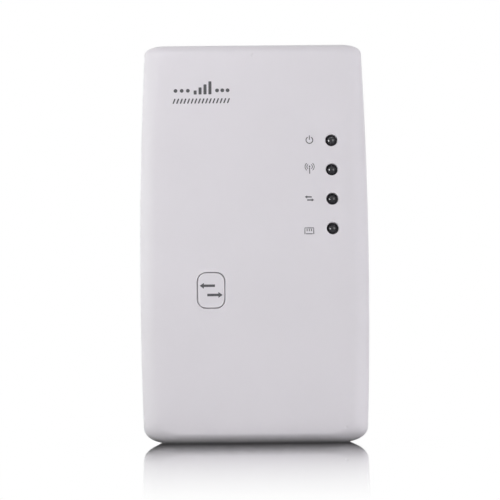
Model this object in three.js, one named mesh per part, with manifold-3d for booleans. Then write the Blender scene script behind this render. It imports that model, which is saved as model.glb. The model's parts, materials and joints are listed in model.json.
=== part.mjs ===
// Plug-in wifi range extender: a two-shell wall housing that carries a router
// board with four indicator LEDs and a push button at the front, two 8P8C jacks
// and a recessed reset switch at the foot, a three-position mode selector on the
// left side, a mains supply board behind it, and a two-blade mains plug at the back.
//
// Frame, in millimetres: +Z up, -Y out of the front face towards the user, +Y into
// the wall, -X left. The origin is midway between the two blades in the plug's face.
import * as THREE from "three";
import { mergeVertices } from "three/addons/utils/BufferGeometryUtils.js";
import Module from "manifold-3d";

const wasm = await Module();
wasm.setup();

// ---------------------------------------------------------------- dimensions
// Suffixes: _R radius, _W width, _H height, _F front face in y, _B back face in y.
const mirrored = (x, z) => [[-x, z], [x, z]]; // left and right places, as x, z
const SIDES = ["left", "right"];
const REST_GAP = 0.05; // between a part and the face it stands on

const HALF_W = 31.5; // at mid height
const HALF_H = 55.0;
const MID_Z = -7.0; // height of the body's middle
const BARREL = 1.25; // how far the sides draw in towards top and foot
const HOUSING_F = -27.0; // crown of the front face
const HOUSING_B = -0.6;
const CROWN_X = 0.6; // front face falls back this far at its sides
const CROWN_Z = 1.8; // and this far at its top and foot
const FRONT_FILLET = { x: 5.0, y: 6.0, z: 3.0 };
const REAR_DRAFT = 1.1; // sides narrow by this much towards the back
const REAR_FILLET = 3.4;
const TOP_CORNER = { x: 5.6, z: 2.5 };
const FOOT_CORNER = { x: 7.9, z: 4.4 };
const WALL = 2.0;
const PART_Y = -18.4; // parting plane of the two covers
const SEAM = 0.15; // half of the shadow gap at the parting plane

const BOARD_F = -20.0;
const BOARD_B = -18.4;
const SUPPLY_F = -6.2;
const SUPPLY_B = -4.6;

const LED_X = 21.3;
const LED_PITCH = 8.1;
const LED_ZS = [0, 1, 2, 3].map((i) => 20.1 - i * LED_PITCH);
const LED_R = 1.5;
const LED_HOLE_R = 1.65;
const LED_SEAT = -20.95;

const BUTTON = { x: -11.8, z: -20.8, width: 7.2, height: 9.4, corner: 2.3, gap: 0.2 };
const FLANGE_W = BUTTON.width + 2.2;
const FLANGE_H = BUTTON.height + 2.2;
const COLLAR_BORE_W = FLANGE_W + 0.8;
const COLLAR_BORE_H = FLANGE_H + 0.8;
const COLLAR_WALL = 1.2;

const JACK_X = 12.5;
const JACK_MOUTH_Z = -61.4;
const JACK_LENGTH = 16.0;
const JACK_W = 16.0;
const JACK_DEPTH = 13.4; // back from the board
const RESET_Y = -15.9;
const RESET_HOLE_R = 0.9;
const MODE_Y = -15.6;
const MODE_Z = -30.0;

const BLOCK_W = 24; // plug block
const BLOCK_H = 18;
const BLOCK_CORNER = 4;
const BLADE_X = 6.35;
const BLADE_THICKNESS = 1.5;
const BLADE_H = 6.35;
const BLADE_LENGTH = 17.5;

const HOUSING_SCREWS = [...mirrored(24.6, 38.5), ...mirrored(24.8, -53.5)];
const SCREW_SEAT = -14; // floor of the housing screw wells
const BOARD_SCREWS = mirrored(21.8, 26.5);
const BOARD_PINS = mirrored(22, -41);
const SUPPLY_SCREWS = mirrored(19.5, 17.0);
const AERIAL = { x: 11.2, y: -22, z: 38.2 };
const TRANSFORMER_AT = [3, -11.3, 31];
const LABEL_Z = -33;
const LABEL_W = 40.4;
const LABEL_H = 24.4;

// ---------------------------------------------------------------- materials
const finish = (settings) => new THREE.MeshStandardMaterial(settings);
const SHELL = finish({ color: 0xe6e4ea, roughness: 0.38 });
const BUTTON_WHITE = finish({ color: 0xe4e2e8, roughness: 0.36 });
const LED_DARK = finish({ color: 0x17171a, roughness: 0.25 });
const BLACK = finish({ color: 0x1d1d20, roughness: 0.6 });
const STEEL = finish({ color: 0xb9bcc0, roughness: 0.3, metalness: 1 });
const BRASS = finish({ color: 0xc9b06a, roughness: 0.28, metalness: 1 });
const DARK_GREEN = finish({ color: 0x1f5a38, roughness: 0.45 });
const CHIP = finish({ color: 0x232427, roughness: 0.55 });
const GOLD = finish({ color: 0xd6b25a, roughness: 0.25, metalness: 1 });
const BLACK_WIRE = finish({ color: 0x1c1c1c, roughness: 0.5 });
const PALE_WIRE = finish({ color: 0xd9d9d6, roughness: 0.5 });
const TAPE = finish({ color: 0xd8b23a, roughness: 0.5 });
const FERRITE = finish({ color: 0x3a3a3d, roughness: 0.7 });
const CAN = finish({ color: 0x2b3350, roughness: 0.35 });
const LABEL = finish({ color: 0xcfd1d4, roughness: 0.5 });
const SHEET = finish({ color: 0xd9d6cf, roughness: 0.6 });
const BLUE = finish({ color: 0x2b6fa8, roughness: 0.4 });
const LIGHT_GREEN = finish({ color: 0x4f8a5b, roughness: 0.5 });

// ------------------------------------------------------------------ helpers
function solid(geometry) {
  const loose = geometry.index ? geometry.toNonIndexed() : geometry;
  const bare = new THREE.BufferGeometry().setAttribute("position", loose.getAttribute("position"));
  const merged = mergeVertices(bare, 1e-4);
  return new wasm.Manifold(
    new wasm.Mesh({
      numProp: 3,
      vertProperties: merged.attributes.position.array,
      triVerts: new Uint32Array(merged.index.array),
    }),
  );
}

function geometryOf(body) {
  const mesh = body.getMesh();
  const positions = new Float32Array(mesh.numVert * 3);
  for (let i = 0; i < mesh.numVert; i++) {
    const start = i * mesh.numProp;
    positions.set(mesh.vertProperties.subarray(start, start + 3), i * 3);
  }
  const geometry = new THREE.BufferGeometry()
    .setAttribute("position", new THREE.BufferAttribute(positions, 3))
    .setIndex(new THREE.BufferAttribute(new Uint32Array(mesh.triVerts), 1));
  geometry.computeVertexNormals();
  return geometry;
}

// Geometry from a list of corners, three to a triangle.
const geometryFrom = (corners) => new THREE.BufferGeometry()
  .setAttribute("position", new THREE.Float32BufferAttribute(corners.flat(), 3));

const cut = (body, ...tools) => tools.reduce((rest, tool) => rest.subtract(tool), body);
const join = (body, ...others) => others.reduce((sum, other) => sum.add(other), body);

const box = (x0, x1, y0, y1, z0, z1) =>
  solid(new THREE.BoxGeometry(x1 - x0, y1 - y0, z1 - z0)
    .translate((x0 + x1) / 2, (y0 + y1) / 2, (z0 + z1) / 2));

// Box centred on x, z between two stations along Y.
const blockY = (width, height, y0, y1, x = 0, z = 0) =>
  box(x - width / 2, x + width / 2, y0, y1, z - height / 2, z + height / 2);

// Round bars between two stations along Y or Z.
const barY = (radius, y0, y1, x, z, segments = 12) =>
  solid(new THREE.CylinderGeometry(radius, radius, y1 - y0, segments)
    .translate(x, (y0 + y1) / 2, z));
const barZ = (radius, z0, z1, x, y, segments = 16) =>
  solid(new THREE.CylinderGeometry(radius, radius, z1 - z0, segments)
    .rotateX(Math.PI / 2)
    .translate(x, y, (z0 + z1) / 2));

function roundedPlate(width, height, radius, depth, curveSegments) {
  const shape = new THREE.Shape();
  const right = width / 2 - radius;
  const top = height / 2 - radius;
  const quarter = Math.PI / 2;
  shape.moveTo(-right, -top - radius);
  shape.lineTo(right, -top - radius);
  shape.absarc(right, -top, radius, -quarter, 0);
  shape.lineTo(right + radius, top);
  shape.absarc(right, top, radius, 0, quarter);
  shape.lineTo(-right, top + radius);
  shape.absarc(-right, top, radius, quarter, Math.PI);
  shape.lineTo(-right - radius, -top);
  shape.absarc(-right, -top, radius, Math.PI, 3 * quarter);
  return new THREE.ExtrudeGeometry(shape, { depth, bevelEnabled: false, curveSegments });
}
// Rounded rectangles extruded along Y, Z or X; across X the width lies along Y.
const plateY = (width, height, radius, y0, y1, x, z, segments = 4) =>
  solid(roundedPlate(width, height, radius, y1 - y0, segments)
    .rotateX(Math.PI / 2)
    .translate(x, y1, z));
const plateZ = (width, height, radius, z0, z1, x, y, segments = 4) =>
  solid(roundedPlate(width, height, radius, z1 - z0, segments).translate(x, y, z0));
const plateX = (width, height, radius, x0, x1, y, z, segments) =>
  solid(roundedPlate(width, height, radius, x1 - x0, segments)
    .rotateX(Math.PI / 2)
    .rotateZ(Math.PI / 2)
    .translate(x0, y, z));

// Lathed body about Y; the profile's columns are radius, y.
const turned = (profile, segments) =>
  solid(new THREE.LatheGeometry(profile.map((point) => new THREE.Vector2(...point)), segments));

// Round wire through a list of points.
function wire(points, radius) {
  const extrudePath = new THREE.CatmullRomCurve3(
    points.map((point) => new THREE.Vector3(...point)), false, "centripetal");
  const section = new THREE.Shape();
  section.absarc(0, 0, radius, 0, Math.PI * 2, false);
  return solid(new THREE.ExtrudeGeometry(section, { steps: 12, extrudePath, curveSegments: 3 }));
}

// ---------------------------------------------------------- the housing shape
// In this section z is measured from the body's middle.
const sideAt = (z) => HALF_W - BARREL * (z / HALF_H) ** 2;
const crown = (x, z) => CROWN_X * (x / HALF_W) ** 2 + CROWN_Z * (z / HALF_H) ** 2;

// Points x, z, anticlockwise seen from -Y with X to the right and Z up.
function outline() {
  // from the side round to the top or foot
  const corner = (signX, signZ, size) => {
    const points = [];
    for (let i = 0; i <= 4; i++) {
      const angle = (i / 4) * (Math.PI / 2);
      const z = HALF_H - size.z + size.z * Math.sin(angle) ** 0.9;
      const x = sideAt(z) - size.x + size.x * Math.cos(angle) ** 0.9;
      points.push([signX * x, signZ * z]);
    }
    return points;
  };
  const side = (z0, z1, sign) =>
    [1, 2, 3, 4, 5].map((i) => {
      const z = z0 + ((z1 - z0) * i) / 6;
      return [sign * sideAt(z), z];
    });
  const low = -HALF_H + FOOT_CORNER.z;
  const high = HALF_H - TOP_CORNER.z;
  return [
    ...side(low, high, 1),
    ...corner(1, 1, TOP_CORNER),
    [0, HALF_H],
    ...corner(-1, 1, TOP_CORNER).reverse(),
    ...side(high, low, -1),
    ...corner(-1, -1, FOOT_CORNER),
    [0, -HALF_H],
    ...corner(1, -1, FOOT_CORNER).reverse(),
  ];
}
const OUTLINE = outline();

// The whole housing drawn in by inset all round, as a closed body made of rings.
function housing(inset, steps = 3) {
  const rings = [];
  const addRing = (drawX, drawZ, y, crowned, scale = 1) =>
    rings.push(OUTLINE.map(([outlineX, outlineZ]) => {
      const x = outlineX * (1 - (drawX + inset) / HALF_W) * scale;
      const z = outlineZ * (1 - (drawZ + inset) / HALF_H) * scale;
      return [x, y + crown(x, z) * crowned, z + MID_Z];
    }));

  const front = HOUSING_F + inset;
  const back = HOUSING_B - inset;
  const faceScales = inset ? [0.55] : [0.4, 0.72];
  for (const scale of faceScales) addRing(FRONT_FILLET.x, FRONT_FILLET.z, front, 1, scale);
  const frontDepth = FRONT_FILLET.y - inset * 0.6;
  for (let i = 0; i <= steps; i++) {
    const angle = (i / steps) * (Math.PI / 2);
    const draw = 1 - Math.sin(angle);
    const y = front + frontDepth * (1 - Math.cos(angle));
    addRing(FRONT_FILLET.x * draw, FRONT_FILLET.z * draw, y, 1 - Math.sin(angle) ** 3);
  }
  addRing(0, 0, PART_Y, 0);
  const rearDepth = REAR_FILLET - inset * 0.5;
  for (let i = 0; i < steps; i++) {
    const angle = (i / (steps - 1)) * (Math.PI / 2);
    const draw = REAR_FILLET * (1 - Math.cos(angle));
    addRing(REAR_DRAFT + draw, draw, back - rearDepth * (1 - Math.sin(angle)), 0);
  }

  const corners = [];
  const last = rings.length - 1;
  for (let i = 0; i < OUTLINE.length; i++) {
    const j = (i + 1) % OUTLINE.length;
    corners.push([0, front, MID_Z], rings[0][i], rings[0][j]);
    for (let k = 0; k < last; k++) {
      const near = rings[k];
      const far = rings[k + 1];
      corners.push(near[i], far[i], far[j], near[i], far[j], near[j]);
    }
    corners.push([0, back, MID_Z], rings[last][j], rings[last][i]);
  }
  return solid(geometryFrom(corners));
}
const OUTER = housing(0, 4);
const INNER = housing(WALL);
const between = (body, y0, y1) => body.intersect(box(-60, 60, y0, y1, -90, 90));

// Room for a jack with clearance, open at the foot.
const jackRoom = (x, clearance) =>
  box(x - JACK_W / 2 - clearance, x + JACK_W / 2 + clearance,
    BOARD_B - 0.1, BOARD_B + JACK_DEPTH + clearance,
    -70, JACK_MOUTH_Z + JACK_LENGTH + clearance);

// ------------------------------------------------------------- front cover
const innerFaceAt = (x, z) => HOUSING_F + WALL + crown(x, z - MID_Z);
// Post rooted 0.8 deep in the front wall.
const frontPost = (radius, end, x, z, segments) =>
  barY(radius, innerFaceAt(x, z) - 0.8, end, x, z, segments);

function buttonCollar() {
  const { x, z } = BUTTON;
  const width = COLLAR_BORE_W + 2 * COLLAR_WALL;
  const height = COLLAR_BORE_H + 2 * COLLAR_WALL;
  return cut(
    plateY(width, height, 3.2, innerFaceAt(x, z) - 0.6, -22.6, x, z, 2),
    plateY(COLLAR_BORE_W, COLLAR_BORE_H, 2.4, -24.95, -20, x, z, 2),
  );
}

function frontCover() {
  let cover = cut(between(OUTER, -60, PART_Y - SEAM), INNER);
  // tongue that enters the rear cover
  cover = join(cover, cut(between(housing(1.15), PART_Y - 1.2, PART_Y + 1.3), INNER));
  // screw bosses, board posts and locating pins
  for (const [x, z] of HOUSING_SCREWS) {
    cover = join(cover, frontPost(2.6, PART_Y + 0.3, x, z));
    cover = cut(cover, barY(1.35, -24.2, -15, x, z));
  }
  for (const [x, z] of BOARD_SCREWS) {
    cover = join(cover, frontPost(2.3, BOARD_F - REST_GAP, x, z));
    cover = cut(cover, barY(1.05, -23.4, -15, x, z));
  }
  for (const [x, z] of BOARD_PINS) {
    const pin = barY(1.1, BOARD_F - 1, BOARD_B - 0.3, x, z);
    cover = join(cover, frontPost(2.2, BOARD_F - REST_GAP, x, z), pin);
  }
  cover = join(cover, buttonCollar());
  // rests for the two aerial boards
  for (const x of [-17.4, -5, 5, 17.4]) {
    cover = join(cover, frontPost(1.2, AERIAL.y - REST_GAP, x, 38, 10));
  }
  // openings
  for (const z of LED_ZS) cover = cut(cover, barY(LED_HOLE_R, -30, -22, LED_X, z, 18));
  const { x, z, width, height, corner, gap } = BUTTON;
  return cut(
    cover,
    plateY(width + 2 * gap, height + 2 * gap, corner + gap, -30, -24, x, z),
    jackRoom(-JACK_X, 0.35),
    jackRoom(JACK_X, 0.35),
    box(-32, -26.9, MODE_Y - 3.2, MODE_Y + 3, MODE_Z - 6.4, MODE_Z + 6.4),
  );
}

// -------------------------------------------------------------- rear cover
const VENT_ROWS = [22, 25.6, 29.2, 32.8, 36.4, -14.2, -17.6]; // z of each row
const SLOT_W = 1.5;
const SLOT_CORNER = 0.74;

function vents() {
  const slots = [];
  for (const z of VENT_ROWS) {
    for (const x of [-8.6, 8.6]) slots.push(plateY(14.6, SLOT_W, SLOT_CORNER, -4, 2, x, z, 2));
  }
  // a row through the top
  for (let i = -3; i <= 3; i++) {
    slots.push(plateZ(SLOT_W, 9, SLOT_CORNER, 44, 50, i * 5.2, -10.5, 2));
  }
  return slots;
}

// Finger dish in the left side round the mode selector.
function modeDish() {
  const ball = new THREE.SphereGeometry(9, 16, 12).scale(0.42, 0.42, 1);
  return solid(ball.translate(-32.6, MODE_Y, MODE_Z)).intersect(box(-40, -30.4, -30, 0, -60, 0));
}

function rearCover() {
  const root = HOUSING_B - 1; // posts and ribs end inside the back wall
  let cover = cut(between(OUTER, PART_Y + SEAM, 60), INNER);
  // groove for the front cover's tongue
  cover = cut(cover, between(housing(0.9), PART_Y - 2, PART_Y + 1.55));
  for (const [x, z] of HOUSING_SCREWS) {
    cover = join(cover, barY(3.3, PART_Y + 0.9, root, x, z));
    cover = cut(cover, barY(2.6, SCREW_SEAT, 2, x, z), barY(1.5, -20, -13, x, z));
  }
  // supply board posts
  for (const [x, z] of SUPPLY_SCREWS) {
    cover = join(cover, barY(2.4, SUPPLY_B + REST_GAP, root, x, z));
    cover = cut(cover, barY(1.05, -6, -1.5, x, z));
  }
  for (const [x, z] of mirrored(17.5, 41.4)) {
    cover = join(cover, barY(1.6, SUPPLY_B + REST_GAP, root, x, z, 10));
  }
  // seat for the plug block, with ribs that hold its flange
  cover = cut(cover, plateY(BLOCK_W + 0.4, BLOCK_H + 0.4, BLOCK_CORNER + 0.2, -4, 2, 0, 0));
  cover = join(cover, blockY(2, 14, -6.2, root, -16.2), blockY(2, 14, -6.2, root, 16.2));
  return cut(
    cover,
    plateY(LABEL_W + 0.6, LABEL_H + 0.6, 1.5, HOUSING_B - 0.3, 2, 0, LABEL_Z),
    ...vents(),
    jackRoom(-JACK_X, 0.25),
    jackRoom(JACK_X, 0.25),
    barZ(RESET_HOLE_R, -70, -56, 0, RESET_Y, 14),
    plateX(3.4, 8.4, 0.8, -34, -27, MODE_Y, MODE_Z, 3),
    modeDish(),
  );
}

// --------------------------------------------------------------- shell parts
function pairingButton() {
  const { x, z, width, height, corner } = BUTTON;
  return join(
    plateY(width, height, corner, -30, -24.2, x, z).intersect(OUTER),
    plateY(FLANGE_W, FLANGE_H, 2.2, -24.55, -23.75, x, z, 2),
    barY(1.5, -24, -22.75, x, z, 16),
  );
}

// Head towards +Y, seated at y = 0, with a cross recess.
function screw(headRadius, headHeight, radius, length) {
  const body = turned([
    [0, -length], [radius * 0.45, -length], [radius, -length + 1.2], [radius, 0],
    [headRadius, 0], [headRadius, headHeight * 0.55], [headRadius * 0.72, headHeight],
    [0, headHeight],
  ], 10);
  const reach = headRadius * 1.1;
  const floor = headHeight * 0.45;
  return cut(
    body,
    blockY(reach, 0.6, floor, headHeight + 1),
    blockY(0.6, reach, floor, headHeight + 1),
  );
}

// --------------------------------------------------------------- router parts
function mainBoard() {
  let board = join(
    box(-26.3, 26.3, BOARD_F, BOARD_B, -47.5, 30),
    box(-21.2, 21.2, BOARD_F, BOARD_B, -58.6, -47),
  );
  const drill = (radius, x, z, segments) => {
    board = cut(board, barY(radius, -22, -16, x, z, segments));
  };
  for (const [x, z] of BOARD_SCREWS) drill(1.4, x, z);
  for (const [x, z] of BOARD_PINS) drill(1.35, x, z);
  for (const z of LED_ZS) {
    for (const offset of [-1.27, 1.27]) drill(0.55, LED_X + offset, z, 6);
  }
  return board;
}

// LED on Y, dome towards -Y, with two leads behind it.
function led() {
  const shoulder = 3.8;
  const rim = LED_R + 0.4;
  const profile = [[0, 0], [rim, 0], [rim, 1.0], [LED_R, 1.0], [LED_R, shoulder]];
  for (let i = 1; i <= 4; i++) {
    const angle = (i / 4) * (Math.PI / 2);
    const radius = i === 4 ? 0 : LED_R * Math.cos(angle);
    profile.push([radius, shoulder + LED_R * Math.sin(angle)]);
  }
  return join(
    turned(profile, 14).rotate([180, 0, 0]),
    blockY(0.5, 0.5, -0.5, 3.9, -1.27),
    blockY(0.5, 0.5, -0.5, 3.9, 1.27),
  );
}

function ledSpacer() {
  const bar = plateY(6, 30.4, 1.2, -24.0, -22.5, LED_X, (LED_ZS[0] + LED_ZS[3]) / 2);
  return cut(bar, ...LED_ZS.map((z) => barY(LED_R + 0.1, -26, -20, LED_X, z)));
}

// Flat chip, front towards -Y, seated at y = 0, with a row of leads down two
// opposite sides; rowAxis says which way the rows run.
function chip(width, height, thickness, pins, rowAxis) {
  let body = blockY(width, height, -thickness, -0.15);
  const upright = rowAxis === "z";
  const pitch = ((upright ? height : width) - 1) / (pins - 1);
  const leadOffset = (upright ? width : height) / 2 + 0.35;
  for (let i = 0; i < pins; i++) {
    const along = (i - (pins - 1) / 2) * pitch;
    for (const across of [-leadOffset, leadOffset]) {
      const lead = upright
        ? blockY(1.1, 0.4, -0.45, -0.05, across, along)
        : blockY(0.4, 1.1, -0.45, -0.05, along, across);
      body = join(body, lead);
    }
  }
  return body;
}

const crystal = () => join(
  plateY(10.6, 4.2, 2.09, -3.3, -0.3, 0, 0, 3),
  plateY(11.4, 5, 2.49, -0.6, -0.05, 0, 0, 3),
);

// Mouth at z = 0 facing -Z, board side at y = 0.
const jackHousing = () => cut(
  box(-JACK_W / 2, JACK_W / 2, 0, JACK_DEPTH, 0, JACK_LENGTH),
  box(-5.95, 5.95, 1.8, 9.4, -1, 12.5), // plug cavity
  box(-3.1, 3.1, 9, 10.8, -1, 9), // latch channel, in two steps
  box(-1.8, 1.8, 10.5, 11.8, -1, 9),
);

// Insert deep in the cavity with eight spring wires towards the mouth.
function jackContacts() {
  let contacts = box(-5.2, 5.2, 1.9, 3.4, 10.6, 12.4);
  for (let i = 0; i < 8; i++) {
    const spring = new THREE.BoxGeometry(0.36, 0.3, 9.2).rotateX(0.1);
    contacts = join(contacts, solid(spring.translate((i - 3.5) * 1.02, 2.55, 6.4)));
  }
  return contacts;
}

const pairingSwitchBase = () => cut(blockY(6, 6, -1.95, 0), barY(1.85, -2.95, -0.45, 0, 0, 20));

const resetSwitchBase = () => cut(
  box(-3, 3, BOARD_B + REST_GAP, -13.4, -54, -50.4),
  barZ(1.15, -56, -50.9, 0, RESET_Y),
);

const modeSwitchBase = () => cut(
  box(-27.2, -22.8, BOARD_B + REST_GAP, -12.9, MODE_Z - 5, MODE_Z + 5),
  box(-30, -24.8, MODE_Y - 1.0, MODE_Y + 1.0, MODE_Z - 3.9, MODE_Z + 3.9),
);

// Stem, thumb piece and four grip ridges.
const modeSwitchKnob = () => join(
  box(-27.9, -25, -0.85, 0.85, -1.7, 1.7),
  box(-30.3, -27.7, -1.35, 1.35, -1.7, 1.7),
  ...[-1.2, -0.4, 0.4, 1.2].map((z) => box(-30.75, -30.2, -1.35, 1.35, z - 0.2, z + 0.2)),
);

// Small board with the raised trace of an inverted-F radiator on its front.
function aerial() {
  const trace = (x0, x1, z0, z1) => box(x0, x1, -0.12, 0.1, z0, z1);
  return join(
    blockY(19, 9, 0, 0.8),
    trace(-9, 8.6, 2.6, 3.8),
    trace(-9, -7.8, -4, 3),
    trace(-4.6, -3.6, -4, 3),
    trace(-9, 9, -4.2, -2.6),
  );
}

// x, y, z from the aerial down to the main board
const AERIAL_CABLES = [
  [[-13.2, -22.9, 34.6], [-13.6, -23.3, 32.2], [-14.2, -22.6, 29.6],
    [-14.5, -21.4, 27], [-14.6, -20.75, 24.4], [-14.6, -20.7, 22]],
  [[9.2, -22.9, 34.6], [8.6, -23.3, 32.2], [7.6, -22.6, 29.6],
    [6.4, -21.4, 27], [5.6, -20.75, 24.4], [5.2, -20.7, 22]],
];

// --------------------------------------------------------------- supply parts
function supplyBoard() {
  // top corners notched, with room for the upper housing screw posts
  let board = cut(
    box(-22.5, 22.5, SUPPLY_F, SUPPLY_B, 13.5, 43.5),
    box(-30, -20.4, -8, -3, 41, 50),
    box(20.4, 30, -8, -3, 41, 50),
  );
  for (const [x, z] of HOUSING_SCREWS.slice(0, 2)) board = cut(board, barY(3.8, -8, -3, x, z));
  for (const [x, z] of SUPPLY_SCREWS) board = cut(board, barY(1.3, -8, -3, x, z));
  return board;
}

const insulationSheet = () => cut(
  box(-19, 19, -16.9, -16.55, 12.5, 45),
  box(-9, 2.6, -18, -15, 10, 17.6), // opening round the link header
);

const transformerCore = () => cut(
  blockY(16, 13, -2.6, 2.6),
  box(-5.6, -2.2, -4, 4, -4.4, 4.4),
  box(2.2, 5.6, -4, 4, -4.4, 4.4),
);

const transformerWinding = () => cut(
  join(
    plateZ(10.2, 9.2, 1.6, -3.6, 3.6, 0, 0),
    box(-5.3, 5.3, 2.9, 4.9, -6.4, 6.4),
    box(-5.3, 5.3, -4.7, 4.6, -4.1, -3.5),
    box(-5.3, 5.3, -4.7, 4.6, 3.5, 4.1),
  ),
  box(-2.4, 2.4, -2.85, 2.85, -8, 8),
);

// Axis on Y from 0 to length, sleeve groove near the base.
const canCapacitor = (radius, length) => turned([
  [0, 0], [radius - 0.3, 0], [radius, 0.3], [radius, 1.2], [radius - 0.35, 1.6],
  [radius, 2.0], [radius, length - 0.3], [radius - 0.3, length], [0, length],
], 14);

const inputChoke = () => turned([
  [0, 0], [3, 0], [3, 1.2], [2.4, 1.5], [2.4, 5.2], [3, 5.5], [3, 6.8], [0, 6.8],
], 12);

const fuseResistor = () => turned([
  [0, 0], [1.3, 0], [1.7, 0.5], [1.7, 1.6], [1.4, 2.1],
  [1.4, 6.4], [1.7, 6.9], [1.7, 8], [1.3, 8.5], [0, 8.5],
], 10);

const discCapacitor = () => turned([
  [0, -1.5], [2.6, -1.5], [3.5, -0.6], [3.5, 0.6], [2.6, 1.5], [0, 1.5],
], 16);

// Square bar with four pins along Y.
function linkHeader() {
  const pins = [-1.5, -0.5, 0.5, 1.5].map((i) => blockY(0.64, 0.64, -5.95, 5.95, i * 2.54));
  return join(blockY(10.2, 2.5, -1.25, 1.25), ...pins);
}

// --------------------------------------------------------------- plug parts
function plugBlock() {
  const block = join(
    plateY(BLOCK_W, BLOCK_H, BLOCK_CORNER, -3.2, 0, 0, 0),
    blockY(29.6, 12.8, -4.6, -2.8), // flange
    blockY(20, 10, -8.2, -4),
  );
  const slot = (x) => blockY(BLADE_THICKNESS + 0.16, BLADE_H + 0.16, -10, 2, x);
  return cut(block, slot(-BLADE_X), slot(BLADE_X));
}

// Flat blade on X = 0 with a chamfered tip and a round hole; its flat sides are
// divided just outside the plug's face, into an exposed part and a buried tail.
function blade() {
  const half = BLADE_H / 2;
  const side = BLADE_THICKNESS / 2;
  const tail = -11;
  const line = 0.1; // where the flat sides are divided
  const chamfer = 1.4;
  const holeRadius = 1.6;
  const hole = [];
  for (let i = 0; i < 18; i++) {
    const angle = (-i / 18) * Math.PI * 2;
    hole.push([12.4 + holeRadius * Math.cos(angle), holeRadius * Math.sin(angle)]);
  }
  // y, z
  const edge = [
    [tail, -half], [line, -half],
    [BLADE_LENGTH - chamfer, -half], [BLADE_LENGTH, -half + chamfer],
    [BLADE_LENGTH, half - chamfer], [BLADE_LENGTH - chamfer, half],
    [line, half], [tail, half],
  ];
  const corners = [];
  const vectors = (points) => points.map((point) => new THREE.Vector2(...point));
  const addFlats = (contour, holes) => {
    const points = [...contour, ...holes.flat()];
    for (const face of THREE.ShapeUtils.triangulateShape(vectors(contour), holes.map(vectors))) {
      let [a, b, c] = face.map((i) => points[i]);
      const turn = (b[0] - a[0]) * (c[1] - a[1]) - (b[1] - a[1]) * (c[0] - a[0]);
      if (turn < 0) [b, c] = [c, b];
      corners.push([side, ...a], [side, ...b], [side, ...c]);
      corners.push([-side, ...a], [-side, ...c], [-side, ...b]);
    }
  };
  addFlats([edge[0], edge[1], edge[6], edge[7]], []);
  addFlats(edge.slice(1, 7), [hole]);
  for (const loop of [edge, hole]) {
    loop.forEach((point, i) => {
      const next = loop[(i + 1) % loop.length];
      corners.push([-side, ...point], [-side, ...next], [side, ...next]);
      corners.push([-side, ...point], [side, ...next], [side, ...point]);
    });
  }
  const geometry = geometryFrom(corners);
  geometry.computeVertexNormals();
  return geometry;
}

// x, y, z from the plug block up to the supply board
const MAINS_WIRES = [
  [[-8.1, -9.8, 0.5], [-8.8, -11.4, 3], [-11.6, -12, 8],
    [-14.4, -10.6, 12.6], [-15.2, -8.4, 14.6], [-15.2, -6.4, 14.6]],
  [[8.1, -9.8, 0.5], [8.8, -11.4, 3], [10.4, -12, 8],
    [11.8, -10.6, 12.6], [12.2, -8.4, 14.6], [12.2, -6.4, 14.6]],
];

// ------------------------------------------------------------------ assembly
const ALONG_Z = [Math.PI / 2, 0, 0]; // turns a part's +Y to +Z
const FORWARD = [Math.PI, 0, 0]; // turns a part's +Y to -Y
const ORIGIN = [0, 0, 0];
const root = new THREE.Group();

// Adds a named group and returns a function that places meshes in it.
function unit(groupName) {
  const group = new THREE.Group();
  group.name = groupName;
  root.add(group);
  return (name, body, material, position = ORIGIN, rotation = ORIGIN) => {
    const mesh = new THREE.Mesh(body.isBufferGeometry ? body : geometryOf(body), material);
    mesh.name = name;
    mesh.position.set(...position);
    mesh.rotation.set(...rotation);
    group.add(mesh);
  };
}

const shell = unit("shell_unit");
shell("front_cover", frontCover(), SHELL);
shell("rear_cover", rearCover(), SHELL);
shell("pairing_button", pairingButton(), BUTTON_WHITE);
const label = plateY(LABEL_W, LABEL_H, 1.2, HOUSING_B - 0.25, HOUSING_B - 0.05, 0, LABEL_Z);
shell("rating_label", label, LABEL);
const housingScrew = geometryOf(screw(2.3, 1.6, 1.2, 8.5));
["top_left", "top_right", "foot_left", "foot_right"].forEach((name, i) => {
  const [x, z] = HOUSING_SCREWS[i];
  shell(`housing_screw_${name}`, housingScrew, STEEL, [x, SCREW_SEAT + REST_GAP, z]);
});

const router = unit("router_unit");
router("main_board", mainBoard(), DARK_GREEN);
const ledGeometry = geometryOf(led());
["power", "wireless", "link", "lan"].forEach((name, i) => {
  router(`led_${name}`, ledGeometry, LED_DARK, [LED_X, LED_SEAT, LED_ZS[i]]);
});
router("led_spacer", ledSpacer(), BLACK);
router("router_chip", chip(12, 12, 1.4, 8, "z"), CHIP, [-4, BOARD_F, 9]);
router("memory_chip", chip(16, 9, 1.2, 9, "x"), CHIP, [4, BOARD_F, -9]);
router("flash_chip", chip(5, 5.2, 1.6, 4, "z"), CHIP, [-18, BOARD_F, 3]);
router("clock_crystal", crystal(), STEEL, [-18, BOARD_F, 14]);
router("lan_transformer", chip(15, 9.4, 3.9, 8, "x"), CHIP, [4, BOARD_F, -38]);
for (const [name, x] of [["wan", -JACK_X], ["lan", JACK_X]]) {
  const position = [x, BOARD_B + REST_GAP, JACK_MOUTH_Z];
  router(`${name}_jack_housing`, jackHousing(), BLACK, position);
  router(`${name}_jack_contacts`, jackContacts(), GOLD, position);
}
const switchAt = [BUTTON.x, BOARD_F - REST_GAP, BUTTON.z];
router("pairing_switch_base", pairingSwitchBase(), STEEL, switchAt);
router("pairing_switch_plunger", barY(1.75, -22.7, -20.95, BUTTON.x, BUTTON.z, 18), BLACK);
router("reset_switch_base", resetSwitchBase(), STEEL);
router("reset_switch_plunger", barZ(1.05, -56.6, -51.35, 0, RESET_Y), BLACK);
router("mode_switch_base", modeSwitchBase(), STEEL);
router("mode_switch_knob", modeSwitchKnob(), BLACK, [0, MODE_Y, MODE_Z]);
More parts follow.
